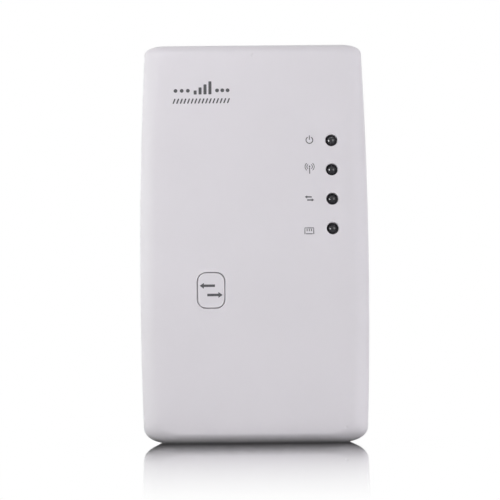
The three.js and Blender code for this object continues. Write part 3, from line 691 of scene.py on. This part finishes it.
def build_can(name, radius, length, x, y, z, upright):
    """A can on end along +Z, or lying towards -Y, with a cross scored in its top."""
    arm, half_slot, depth = radius - 1, 0.12, 0.25
    slots = []
    for half_x, half_other in ((arm, half_slot), (half_slot, arm)):
        if upright:
            top = z + length
            slots.append((x - half_x, x + half_x, y - half_other, y + half_other,
                          top - depth, top + 1))
        else:
            top = y - length
            slots.append((x - half_x, x + half_x, top - 1, top + depth,
                          z - half_other, z + half_other))
    place = along_z(x, y, base=z) if upright else along_y(x, z, base=y, sign=-1)
    return turned(name, can_profile(radius, length), place, slots)


def build_choke():
    """Ferrite bobbin with its turns of wire between the cheeks."""
    profile = [(0, 0)] + quarter_round(3, 0.12) + [(3, 1.1), (2.92, 1.2), (2.45, 1.45)]
    for i in range(12):
        height = 1.5 + i * 0.305
        profile += [(2.29, height), (2.38, height + 0.08), (2.4, height + 0.15),
                    (2.38, height + 0.22)]
    profile += [(2.29, 5.2), (2.45, 5.25), (2.92, 5.5), (3, 5.6)]
    profile += far_round(3, 0.12, 6.8) + [(0, 6.8)]
    return turned("coil_bobbin", profile, along_y(-18.2, 30.2, base=-6.3, sign=-1))


# radius and height of one end, mirrored for the other
RESISTOR_END = [(0.9, 0), (1.28, 0.04), (1.52, 0.2), (1.66, 0.46), (1.7, 0.8), (1.7, 1.4),
                (1.66, 1.66), (1.56, 1.88), (1.46, 2.05), (1.4, 2.3), (1.4, 3.2)]
RESISTOR_LENGTH = 8.5
# radius and height above the middle
DISC_HALF = [(2.3, 1.5), (2.62, 1.43), (3.02, 1.05), (3.32, 0.71), (3.45, 0.45), (3.5, 0.15)]


def build_resistor():
    far_end = [(radius, RESISTOR_LENGTH - height) for radius, height in reversed(RESISTOR_END)]
    return turned("series_resistor",
                  [(0, 0)] + RESISTOR_END + far_end + [(0, RESISTOR_LENGTH)],
                  along_z(-11.5, -8.1, base=17.6))


def build_disc():
    lower = [(radius, -height) for radius, height in DISC_HALF]
    return turned("safety_disc", [(0, -1.5)] + lower + DISC_HALF[::-1] + [(0, 1.5)],
                  along_z(5.4, -10.1, base=19.4))


def build_stem(name, radius, edge, start, end, place):
    """A plunger stem with its first end rounded."""
    rounding = [(across, start + along) for across, along in quarter_round(radius, edge)]
    return turned(name, [(0, start)] + rounding + [(radius, end), (0, end)], place)


# ------------------------------------------------------------------ printing
PRINT_LIFT, PRINT_SINK = 0.014, 0.004
LINE = 0.25  # width of the pictograms' lines


def slab(parts, loop):
    """A thin printed shape lying on the crowned face. loop is (x, z) points."""
    parts.rings([on_face(loop, -PRINT_LIFT), on_face(loop, PRINT_SINK)])


def stroke(points, width):
    """Outline of a line through the points, with round ends."""
    left, right, half = [], [], width / 2
    for i, (x, z) in enumerate(points):
        before, after = points[max(0, i - 1)], points[min(len(points) - 1, i + 1)]
        dx, dz = after[0] - before[0], after[1] - before[1]
        length = math.hypot(dx, dz)
        side_x, side_z = -dz / length * width / 2, dx / length * width / 2
        left.append((x + side_x, z + side_z))
        right.append((x - side_x, z - side_z))

    def end(middle, start):
        first = math.atan2(start[1] - middle[1], start[0] - middle[0])
        angles = [first - math.pi * i / 6 for i in range(1, 6)]
        return [(middle[0] + half * math.cos(angle), middle[1] + half * math.sin(angle))
                for angle in angles]

    return left + end(points[-1], left[-1]) + right[::-1] + end(points[0], right[0])


def line(parts, x, z, offsets, width=LINE):
    slab(parts, stroke([(x + dx, z + dz) for dx, dz in offsets], width))


def arc(radius, start, end, steps):
    """Offsets along an arc, its angles in degrees."""
    angles = [math.radians(start + (end - start) * i / steps) for i in range(steps + 1)]
    return [(radius * math.cos(angle), radius * math.sin(angle)) for angle in angles]


def dash(x, z, width, height, radius=None):
    if radius is None:
        radius = min(width, height) / 2 * 0.98
    return rounded(width, height, radius, 5, x, z)


def arrow(x, z, side, tip, neck, tail, head, shaft):
    """Points left for side 1 and right for -1; head and shaft are half heights."""
    tip_x, neck_x, tail_x = x - side * tip, x - side * neck, x + side * tail
    return [(tip_x, z), (neck_x, z + head), (neck_x, z + shaft), (tail_x, z + shaft),
            (tail_x, z - shaft), (neck_x, z - shaft), (neck_x, z - head)]


def print_emblem(parts):
    """Rising bars between two rows of dots, over a hatched strip."""
    for i, height in enumerate((1.15, 2.0, 2.85, 3.7)):
        slab(parts, dash(-15.94 + i * 1.36, 33.25 + height / 2, 0.84, height, 0.16))
    for x in (-21.35, -19.65, -17.95, -9.9, -8.45, -7.0):
        slab(parts, dash(x, 34.35, 1.06, 1.06))
    for i in range(16):
        line(parts, -21.75 + i * 0.997, 31.41, [(-0.21, -0.55), (0, 0), (0.21, 0.55)], 0.39)


def print_power(parts, x, z):
    line(parts, x, z, arc(0.92, 125, 415, 36))
    line(parts, x, z, [(0, 0.2), (0, 0.7), (0, 1.2)])


def print_wireless(parts, x, z):
    line(parts, x, z, [(0, -1.45), (0, -0.4), (0, 0.1)], LINE * 0.9)
    slab(parts, dash(x, z + 0.5, 0.42, 0.42))
    for middle in (0, 180):
        for radius, steps in ((0.75, 12), (1.25, 16)):
            line(parts, x, z + 0.4, arc(radius, middle - 48, middle + 48, steps), LINE * 0.75)


def print_link(parts, x, z):
    for side in (1, -1):
        slab(parts, arrow(x - 0.22 * side, z + 0.42 * side, side,
                          tip=1.05, neck=0.4, tail=0.85, head=0.42, shaft=0.17))


def print_lan(parts, x, z):
    """A jack's outline with three contacts."""
    line(parts, x, z, [(-1.2, -0.8), (-1.2, 0), (-1.2, 0.8), (0, 0.8),
                       (1.2, 0.8), (1.2, 0), (1.2, -0.8)], LINE * 0.9)
    line(parts, x, z, [(-0.85, -0.8), (0, -0.8), (0.85, -0.8)], LINE * 0.9)
    for dx in (-0.6, 0, 0.6):
        line(parts, x, z, [(dx, 0.45), (dx, 0.25), (dx, 0)], LINE * 0.95)


def build_front_print():
    parts = Parts()
    print_emblem(parts)
    print_power(parts, 15.29, LED_Z[0] + 0.05)
    print_wireless(parts, 15.24, LED_Z[1] + 0.35)
    print_link(parts, 15.06, LED_Z[2] + 0.08)
    print_lan(parts, 14.9, LED_Z[3] - 0.69)
    return parts.object("front_print")


def build_button_print():
    parts = Parts()
    for side in (1, -1):
        slab(parts, arrow(BUTTON_X - 0.95 * side, BUTTON_Z + 1.25 * side, side,
                          tip=2.15, neck=1.0, tail=2.0, head=0.8, shaft=0.34))
    return parts.object("button_print")


def flank_x(y, z):
    """The left flank behind the parting plane."""
    drawn = (y - PART_Y) / (BACK_Y - BACK_FILLET - PART_Y)
    return -side_at(z - MID_Z) * (1 - DRAFT * drawn / HALF_WIDTH)


def build_selector_print():
    """One, two and three dots beside the selector's three positions."""
    parts = Parts()
    for count, dot_z in ((1, MODE_Z + 3.2), (2, MODE_Z), (3, MODE_Z - 3.2)):
        for i in range(count):
            loop = circle(0.36, 24, -10.6 + i * 1.15, dot_z)
            parts.rings([[(flank_x(y, z) + dx, y, z) for y, z in loop]
                         for dx in (-0.016, 0.006)])
    return parts.object("selector_print")


def build_label_print():
    """A plain ruled frame: blank boxes with no lettering."""
    low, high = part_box("rating_label")
    margin = 1.3
    x0, x1 = low.x / MM + margin, high.x / MM - margin
    z0, z1 = low.z / MM + margin, high.z / MM - margin
    y = high.y / MM
    parts = Parts()

    def flat(loop):
        parts.prism(along_y(0, 0), loop, y - 0.004, y + 0.012)

    def rule(xa, za, xb, zb):
        flat(stroke([(xa, za), ((xa + xb) / 2, (za + zb) / 2), (xb, zb)], 0.22))

    for z in (z0, z1, z0 + 6.4, z1 - 5.2):
        rule(x0 + 0.3, z, x1 - 0.3, z)
    for x in (x0, x1):
        rule(x, z0 + 0.3, x, z1 - 0.3)
    for x in (-6.5, 6.5):
        rule(x, z0 + 0.35, x, z0 + 6.05)
    for i in range(3):
        flat(dash(-13.2 + 0.4 * i, z1 - 7.6 - i * 1.7, 7.0 + 0.8 * i, 0.7, 0.3))
    return parts.object("label_print")


# ------------------------------------------------------------------ materials
def add_node(tree, kind, inputs={}, **settings):
    """Adds a shader node; an input is either a value or another node's socket."""
    node = tree.nodes.new("ShaderNode" + kind)
    for key, value in settings.items():
        setattr(node, key, value)
    for key, value in inputs.items():
        if isinstance(value, bpy.types.NodeSocket):
            tree.links.new(value, node.inputs[key])
        else:
            node.inputs[key].default_value = value
    return node


def map_range(tree, value, from_min, from_max, to_min, to_max, **settings):
    return add_node(tree, "MapRange", {
        "Value": value, "From Min": from_min, "From Max": from_max,
        "To Min": to_min, "To Max": to_max}, **settings).outputs["Result"]


def darker(colour, factor):
    return tuple(channel * factor for channel in colour)


class Surface:
    """A Principled material varied by noise in object space."""

    def __init__(self, name, colour, roughness, metallic=0.0):
        self.material = bpy.data.materials.new(name)
        self.material.use_nodes = True
        self.tree = self.material.node_tree
        self.shader = self.tree.nodes["Principled BSDF"]
        self.set({"Metallic": metallic, "Roughness": roughness, "Base Color": (*colour, 1)})
        self.colour, self.roughness, self.normal = colour, roughness, None
        self.coordinates = add_node(self.tree, "TexCoord").outputs["Object"]

    def set(self, values):
        for key, value in values.items():
            self.shader.inputs[key].default_value = value

    def noise(self, scale, detail, roughness=0.5, stretch=None):
        vector = self.coordinates
        if stretch:
            vector = add_node(self.tree, "Mapping",
                              {"Scale": stretch, "Vector": vector}).outputs["Vector"]
        return add_node(self.tree, "TexNoise", {
            "Scale": scale, "Detail": detail, "Roughness": roughness,
            "Vector": vector}).outputs["Fac"]

    def ramp(self, noise, low, high):
        """Spreads the middle of the noise over low to high."""
        return map_range(self.tree, noise, from_min=0.3, from_max=0.7, to_min=low, to_max=high)

    def vary(self, noise, other, amount):
        mix = add_node(self.tree, "Mix", {
            "A": (*self.colour, 1), "B": (*other, 1),
            "Factor": self.ramp(noise, 0, amount)}, data_type="RGBA")
        self.tree.links.new(mix.outputs["Result"], self.shader.inputs["Base Color"])

    def vary_roughness(self, noise, spread):
        value = self.ramp(noise, self.roughness - spread, self.roughness + spread)
        self.tree.links.new(value, self.shader.inputs["Roughness"])

    def bump(self, noise, height, strength):
        inputs = {"Strength": strength, "Distance": height, "Height": noise}
        if self.normal:
            inputs["Normal"] = self.normal
        self.normal = add_node(self.tree, "Bump", inputs).outputs["Normal"]
        self.tree.links.new(self.normal, self.shader.inputs["Normal"])


def plastic(name, colour, roughness, grain, grain_scale, translucent):
    """Moulded plastic: a fine grain over a slow waviness."""
    surface = Surface(name, colour, roughness)
    surface.vary(surface.noise(scale=60, detail=4), other=darker(colour, 0.96), amount=0.5)
    surface.vary_roughness(surface.noise(scale=350, detail=3), spread=0.035)
    surface.bump(surface.noise(scale=grain_scale, detail=2), height=grain, strength=0.6)
    surface.bump(surface.noise(scale=220, detail=2), height=6e-6, strength=0.25)
    if translucent:
        surface.set({"Subsurface Weight": 0.06, "Subsurface Scale": 0.0008,
                     "Subsurface Radius": (1.0, 0.95, 0.9)})
    return surface.material


def metal(name, colour, roughness, stretch):
    surface = Surface(name, colour, roughness, metallic=1.0)
    noise = surface.noise(scale=900, detail=4, roughness=0.6, stretch=stretch)
    surface.vary(noise, other=darker(colour, 0.82), amount=0.7)
    surface.vary_roughness(noise, spread=0.09)
    surface.bump(noise, height=4e-6, strength=0.5)
    return surface.material


def led_epoxy():
    surface = Surface("led_smoky_epoxy", colour=(0.026, 0.026, 0.029), roughness=0.07)
    surface.vary(surface.noise(scale=1800, detail=2), other=(0.042, 0.042, 0.047), amount=0.8)
    surface.bump(surface.noise(scale=900, detail=2), height=4e-6, strength=0.35)
    surface.set({"Specular IOR Level": 0.3})
    return surface.material


def circuit_board(name, colour):
    surface = Surface(name, colour, roughness=0.38)
    lighter = tuple(min(1, channel * 1.45) for channel in colour)
    surface.vary(surface.noise(scale=1400, detail=3), other=lighter, amount=0.5)
    surface.vary_roughness(surface.noise(scale=500, detail=3), spread=0.06)
    surface.bump(surface.noise(scale=2500, detail=3), height=8e-6, strength=0.5)
    return surface.material


SHELL = (0.735, 0.715, 0.750)
# slot, material name, colour, roughness, grain height in metres, grain scale
PLASTICS = [
    ("shell", "shell_plastic", SHELL, 0.36, 2e-6, 9000),
    ("button_cap", "button_plastic", darker(SHELL, 0.99), 0.34, 2e-6, 9000),
    ("plug_plastic", "plug_block_plastic", (0.66, 0.64, 0.67), 0.5, 6e-6, 9000),
    ("black_plastic", "black_moulded", (0.022, 0.022, 0.025), 0.42, 6e-6, 9000),
    ("chip_epoxy", "chip_moulding", (0.03, 0.03, 0.033), 0.6, 9e-6, 6000),
    ("ferrite", "ferrite_grey", (0.045, 0.045, 0.048), 0.65, 1.4e-5, 4000),
    ("tape", "amber_tape", (0.62, 0.36, 0.04), 0.3, 3e-6, 9000),
    ("can_sleeve", "can_sleeve_film", (0.02, 0.028, 0.09), 0.28, 3e-6, 9000),
    ("disc_epoxy", "disc_dip", (0.03, 0.12, 0.32), 0.3, 8e-6, 1500),
    ("resistor_body", "resistor_cement", (0.10, 0.25, 0.14), 0.5, 9e-6, 3000),
    ("wire_white", "wire_white_pvc", (0.72, 0.72, 0.70), 0.45, 2e-6, 9000),
    ("wire_black", "wire_black_pvc", (0.02, 0.02, 0.022), 0.42, 2e-6, 9000),
    ("label", "label_film", (0.52, 0.53, 0.55), 0.42, 3e-6, 5000),
    ("sheet", "insulating_film", (0.62, 0.60, 0.54), 0.45, 3e-6, 9000),
    ("ink", "grey_ink", (0.085, 0.085, 0.092), 0.55, 4e-6, 12000),
]
# slot, material name, colour, roughness, stretch of the noise
METALS = [
    ("steel", "zinc_steel", (0.58, 0.59, 0.61), 0.30, (1, 1, 1)),
    ("plated_brass", "plated_brass_blade", (0.72, 0.66, 0.50), 0.24, (1, 0.06, 1)),
    ("gold_contact", "gold_flash", (0.83, 0.62, 0.24), 0.22, (1, 1, 0.1)),
]
MATERIALS = {}
for slot, *values in PLASTICS:
    MATERIALS[slot] = plastic(*values, translucent=slot in ("shell", "button_cap"))
for slot, *values in METALS:
    MATERIALS[slot] = metal(*values)
MATERIALS["led_epoxy"] = led_epoxy()
MATERIALS["board_green"] = circuit_board("solder_resist_green", (0.012, 0.11, 0.045))
MATERIALS["supply_laminate"] = circuit_board("laminate_pale_green", (0.14, 0.27, 0.15))


# ------------------------------------------------------------------ build
def dress(ob, slot, body, *nodes, material=None):
    ob.data.materials.clear()
    ob.data.materials.append(MATERIALS[material or slot])
    for face in ob.data.polygons:
        face.material_index = 0
    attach(ob, body)
    if nodes:
        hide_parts(*nodes)


dress(build_front(), "shell", "housing", "front_cover")
dress(build_rear(), "shell", "housing", "rear_cover")
dress(build_button(), "button_cap", "pairing_button", "pairing_button")
for name, z in zip(("power", "wireless", "link", "lan"), LED_Z):
    dress(build_led("dome_" + name, z), "led_epoxy", "housing", "led_" + name)
for name, (x, z) in zip(("top_left", "top_right", "foot_left", "foot_right"), HOUSING_SCREWS):
    screw = build_screw("cover_screw_" + name, x, COUNTERBORE_Y + 0.05, z,
                        head_radius=2.3, head_height=1.6, radius=1.2, length=8.5)
    dress(screw, "steel", "housing", "housing_screw_" + name)
for name, (x, z) in zip(("left", "right"), BOARD_SCREWS):
    screw = build_screw("board_post_screw_" + name, x, BOARD_BACK + 0.05, z,
                        head_radius=1.9, head_height=1.3, radius=0.95, length=4.6)
    dress(screw, "steel", "housing", "board_screw_" + name)
for name, (x, z) in zip(("left", "right"), SUPPLY_SCREWS):
    screw = build_screw("supply_post_screw_" + name, x, SUPPLY_FRONT - 0.05, z,
                        head_radius=1.9, head_height=1.3, radius=0.9, length=4.2, facing=-1)
    dress(screw, "steel", "housing", "power_board_screw_" + name)
# name, radius, length, x, y, z of the base, upright, piece replaced
for *can, node in (("bulk_can_a", 3.9, 11, 17.4, -10.4, 20.4, True, "hv_capacitor_a"),
                   ("bulk_can_b", 3.9, 11, 17.0, -10.4, 31.9, True, "hv_capacitor_b"),
                   ("output_can", 3.5, 9.2, -15.6, -6.3, 37.6, False, "output_capacitor")):
    dress(build_can(*can), "can_sleeve", "housing", node)
dress(build_choke(), "ferrite", "housing", "input_choke")
dress(build_resistor(), "resistor_body", "housing", "fuse_resistor")
dress(build_disc(), "disc_epoxy", "housing", "y_capacitor")
dress(build_stem("pairing_stem", radius=1.75, edge=0.15, start=-22.7, end=-20.95,
                 place=along_y(BUTTON_X, BUTTON_Z)),
      "black_plastic", "pairing_plunger", "pairing_switch_plunger")
dress(build_stem("reset_stem", radius=1.05, edge=0.12, start=-56.6, end=-51.35,
                 place=along_z(0, RESET_Y)),
      "black_plastic", "reset_plunger", "reset_switch_plunger")
dress(build_front_print(), "shell", "housing", material="ink")
dress(build_button_print(), "button_cap", "pairing_button", material="ink")
dress(build_selector_print(), "shell", "housing", material="ink")
dress(build_label_print(), "label", "housing", material="ink")

# Bevel widths (mm) of the CAD pieces that stay; the rest get PLAIN_EDGE
EDGES = {"plug_block": 0.35, "blade_left": 0.18, "blade_right": 0.18,
         "wan_jack_housing": 0.18, "lan_jack_housing": 0.18, "mode_switch_knob": 0.12}
PLAIN_EDGE = 0.06
UNBEVELLED = ("contacts", "antenna", "cable", "wire")


def finish_cad_pieces():
    slots = {part["node"]: part["material_slot"] for part in frame["record"]["subparts"]}
    for name, ob in frame["nodes"].items():
        if ob.hide_render:
            continue
        ob.data.materials.clear()
        ob.data.materials.append(MATERIALS[slots[name]])
        if any(word in name for word in UNBEVELLED):
            continue
        bevel = ob.modifiers.new("edge", "BEVEL")
        bevel.width, bevel.segments = EDGES.get(name, PLAIN_EDGE) * MM, 3
        bevel.limit_method, bevel.angle_limit = "ANGLE", math.radians(40)
        bevel.harden_normals = False


finish_cad_pieces()

# ------------------------------------------------------------------ floor (metres from here on)
FLOOR_Z = -62.02 * MM  # just under the foot: surfaces in one plane would let rays slip between
FLOOR_HALF = 3.0
FOOT_HALF_X, FOOT_HALF_Y, FOOT_MID_Y = 0.031, 0.0135, -0.0137
MIRROR_REACH = 0.115  # the mirror image has faded out this far from the foot
# share of the reach, strength of the mirror image
MIRROR_FADE = ((0.26, 0.93), (0.56, 0.5), (0.78, 0.22), (0.93, 0.05))
WHITE = (1, 1, 1, 1)


def calculate(tree, operation, *operands, clamp=False):
    return add_node(tree, "Math", dict(enumerate(operands)),
                    operation=operation, use_clamp=clamp).outputs[0]


def camera_below_floor(tree):
    """1 when the camera is under the floor, so that a view from below sees and lights the foot."""
    camera = add_node(tree, "VectorTransform", {0: (0, 0, 0)},
                      vector_type="POINT", convert_from="CAMERA", convert_to="WORLD")
    height = add_node(tree, "SeparateXYZ", {0: camera.outputs[0]}).outputs["Z"]
    return calculate(tree, "LESS_THAN", height, FLOOR_Z)


def mix_shaders(tree, factor, first, second):
    return add_node(tree, "MixShader", {0: factor, 1: first, 2: second}).outputs[0]


def foot_distance(tree, position):
    """Distance on the floor from the foot's rectangle."""
    place = add_node(tree, "SeparateXYZ", {0: position})

    def outside(value, half):
        beyond = calculate(tree, "SUBTRACT", calculate(tree, "ABSOLUTE", value), half)
        return calculate(tree, "MAXIMUM", beyond, 0.0)

    dx = outside(place.outputs["X"], FOOT_HALF_X)
    dy = outside(calculate(tree, "ADD", place.outputs["Y"], -FOOT_MID_Y), FOOT_HALF_Y)
    squares = [calculate(tree, "MULTIPLY", side, side) for side in (dx, dy)]
    return calculate(tree, "SQRT", calculate(tree, "ADD", *squares))


def mirror_strength(tree, geometry, distance):
    """Fades away from the foot, and the more steeply the floor is looked at."""
    fade = add_node(tree, "ValToRGB", {
        "Fac": calculate(tree, "DIVIDE", distance, MIRROR_REACH, clamp=True)})
    stops = fade.color_ramp.elements
    stops[0].position, stops[0].color = 0.0, WHITE
    stops[1].position, stops[1].color = 1.0, (0, 0, 0, 1)
    for position, value in MIRROR_FADE:
        stops.new(position).color = (value, value, value, 1)
    toward = add_node(tree, "VectorMath", {
        0: geometry.outputs["Incoming"], 1: geometry.outputs["Normal"]},
        operation="DOT_PRODUCT")
    steepness = calculate(tree, "ABSOLUTE", toward.outputs["Value"])
    grazing = calculate(tree, "SUBTRACT", 1.0, steepness)
    full_at, power = 0.86, 5.0
    falloff = calculate(tree, "POWER", calculate(tree, "DIVIDE", grazing, full_at, clamp=True),
                        power)
    return calculate(tree, "MULTIPLY", fade.outputs["Color"], falloff, clamp=True)


def floor_material():
    """White, with a painted contact shadow near the object, and a mirror image for the camera; a
    plain diffuse floor for all other rays.
    """
    material = bpy.data.materials.new("floor_gloss")
    material.use_nodes = True
    tree = material.node_tree
    tree.nodes.clear()
    geometry = add_node(tree, "NewGeometry")
    distance = foot_distance(tree, geometry.outputs["Position"])
    mirror = mirror_strength(tree, geometry, distance)
    # painted contact shadow: occlusion darkens the floor's white glow near the object
    occlusion = add_node(tree, "AmbientOcclusion", {"Distance": 0.03}, samples=8)
    shade = map_range(tree, occlusion.outputs["AO"],
                      from_min=0.0, from_max=1.0, to_min=0.45, to_max=1.0)
    white = add_node(tree, "Emission", {"Strength": shade})
    gloss = add_node(tree, "BsdfAnisotropic", {"Roughness": 0.03, "Color": WHITE})
    seen = mix_shaders(tree, mirror, white.outputs[0], gloss.outputs[0])
    # almost no light bounces from right under the foot
    bounce = map_range(tree, distance, from_min=0.0, from_max=0.0015, to_min=0.03, to_max=1.0,
                       interpolation_type="SMOOTHSTEP")
    diffuse = add_node(tree, "BsdfDiffuse", {"Color": bounce})
    is_camera = add_node(tree, "LightPath").outputs["Is Camera Ray"]
    above = mix_shaders(tree, is_camera, diffuse.outputs[0], seen)
    hidden = calculate(tree, "MAXIMUM", camera_below_floor(tree),
                       geometry.outputs["Backfacing"])
    clear = add_node(tree, "BsdfTransparent")
    result = mix_shaders(tree, hidden, above, clear.outputs[0])
    add_node(tree, "OutputMaterial", {"Surface": result})
    return material


def build_floor():
    mesh = bpy.data.meshes.new("floor")
    corners = ((-1, -1), (1, -1), (1, 1), (-1, 1))
    mesh.from_pydata([(x * FLOOR_HALF, y * FLOOR_HALF, FLOOR_Z) for x, y in corners],
                     [], [(0, 1, 2, 3)])
    ob = bpy.data.objects.new("floor", mesh)
    bpy.context.scene.collection.objects.link(ob)
    mesh.materials.append(floor_material())
    ob.visible_shadow = False  # the low front light comes up through it


build_floor()

# ------------------------------------------------------------------ world and lights
AMBIENT = 0.067
UNDER_LIGHT = 0.36  # more light all round for a camera under the floor
# name, place, aim, width, height, power, colour
LIGHTS = [
    ("key_near", (-0.16, -0.36, 0.32), (0, -0.02, 0.0), 0.25, 0.25, 1.355, (1.0, 0.98, 0.998)),
    ("left_mid", (-0.75, -0.12, 0.12), (0, -0.02, 0.01), 0.25, 0.2, 1.349, (0.922, 1.0, 0.914)),
    ("left_near", (-0.16, -0.07, 0.03), (-0.031, -0.02, 0.02), 0.05, 0.06, 0.022,
     (1.0, 0.97, 0.98)),
    ("right_mid", (0.70, -0.28, 0.12), (0, -0.02, 0.01), 0.3, 0.25, 0.973, (0.966, 0.97, 1.0)),
    ("right_side", (0.75, -0.08, 0.04), (0, -0.02, -0.01), 0.25, 0.2, 1.463, (1.0, 0.986, 1.0)),
    ("foot_front", (0.0, -0.37, -0.25), (0, -0.02, -0.055), 0.3, 0.05, 0.172, (1, 1, 1)),
    # these two only model the back
    ("back_key", (0.30, 0.70, 0.50), (0, 0, 0), 0.5, 0.5, 3.2, (1, 1, 1)),
    ("back_fill", (-0.50, 0.60, 0.0), (0, 0, -0.02), 0.4, 0.4, 1.0, (1, 1, 1)),
]
# bright cards that only the reflections in the LED domes show
GLINTS = [
    ("glint_key", (-0.222, -0.200, 0.028), (0.021, -0.026, 0.006), 0.10, 0.17, 2.00, (1, 1, 1)),
    ("glint_right", (0.200, -0.240, 0.060), (0.021, -0.026, 0.008), 0.16, 0.20, 0.55, (1, 1, 1)),
    ("glint_top", (0.02, -0.07, 0.31), (0.021, -0.026, 0.008), 0.26, 0.12, 0.90, (1, 1, 1)),
]


def build_world():
    """White to the camera and in reflections, a faint ambient light otherwise."""
    world = bpy.data.worlds.new("studio")
    bpy.context.scene.world = world
    world.use_nodes = True
    tree = world.node_tree
    tree.nodes.clear()
    level = calculate(tree, "MULTIPLY_ADD", camera_below_floor(tree), UNDER_LIGHT, AMBIENT)
    seen = add_node(tree, "Background", {"Strength": 1.0, "Color": WHITE})
    light = add_node(tree, "Background", {"Strength": level, "Color": (0.98, 0.98, 1.0, 1)})
    path = add_node(tree, "LightPath")
    visible = calculate(tree, "MAXIMUM", path.outputs["Is Camera Ray"],
                        path.outputs["Is Glossy Ray"])
    result = mix_shaders(tree, visible, light.outputs[0], seen.outputs[0])
    add_node(tree, "OutputWorld", {"Surface": result})


def area_light(name, place, aim, width, height, power, colour, glossy=False):
    """An area light that shows either in reflections only or in diffuse light only."""
    data = bpy.data.lights.new(name, "AREA")
    data.energy, data.color = power, colour
    data.shape, data.size, data.size_y = "RECTANGLE", width, height
    ob = bpy.data.objects.new(name, data)
    ob.location = place
    ob.rotation_mode = "QUATERNION"
    ob.rotation_quaternion = (Vector(aim) - Vector(place)).to_track_quat("-Z", "Y")
    ob.visible_camera = False
    ob.visible_glossy, ob.visible_diffuse = glossy, not glossy
    bpy.context.scene.collection.objects.link(ob)
    return ob


def build_lights():
    for light in LIGHTS:
        area_light(*light)
    polished = bpy.data.collections.new("polished")
    for ob in bpy.data.objects:
        if ob.type == "MESH" and ob.name.startswith("dome_"):
            polished.objects.link(ob)
    for glint in GLINTS:
        area_light(*glint, glossy=True).light_linking.receiver_collection = polished


build_world()
build_lights()

# ------------------------------------------------------------------ camera
CAMERA_DISTANCE = 0.31085
CAMERA_TARGET = Vector((-0.001217, -0.0135, -0.008672))
YAW, ELEVATION, ROLL = (math.radians(angle) for angle in (-0.026, -5.52, -0.511))
SENSOR_WIDTH, LENS = 36.0, 79.1496  # mm


def build_camera():
    back = Vector((math.sin(YAW) * math.cos(ELEVATION), -math.cos(YAW) * math.cos(ELEVATION),
                   math.sin(ELEVATION)))
    forward = -back
    right = forward.cross(Vector((0, 0, 1))).normalized()
    up = right.cross(forward)
    rolled_right = right * math.cos(ROLL) + up * math.sin(ROLL)
    rolled_up = -right * math.sin(ROLL) + up * math.cos(ROLL)
    data = bpy.data.cameras.new("camera")
    data.sensor_width, data.lens = SENSOR_WIDTH, LENS
    data.clip_start, data.clip_end = 0.01, 20
    ob = bpy.data.objects.new("camera", data)
    rotation = Matrix((rolled_right, rolled_up, back)).transposed().to_4x4()
    ob.matrix_world = Matrix.Translation(CAMERA_TARGET + CAMERA_DISTANCE * back) @ rotation
    bpy.context.scene.collection.objects.link(ob)
    bpy.context.scene.camera = ob


build_camera()
view = bpy.context.scene.view_settings
view.view_transform, view.look, view.exposure, view.gamma = "Standard", "None", 0.0, 1.0
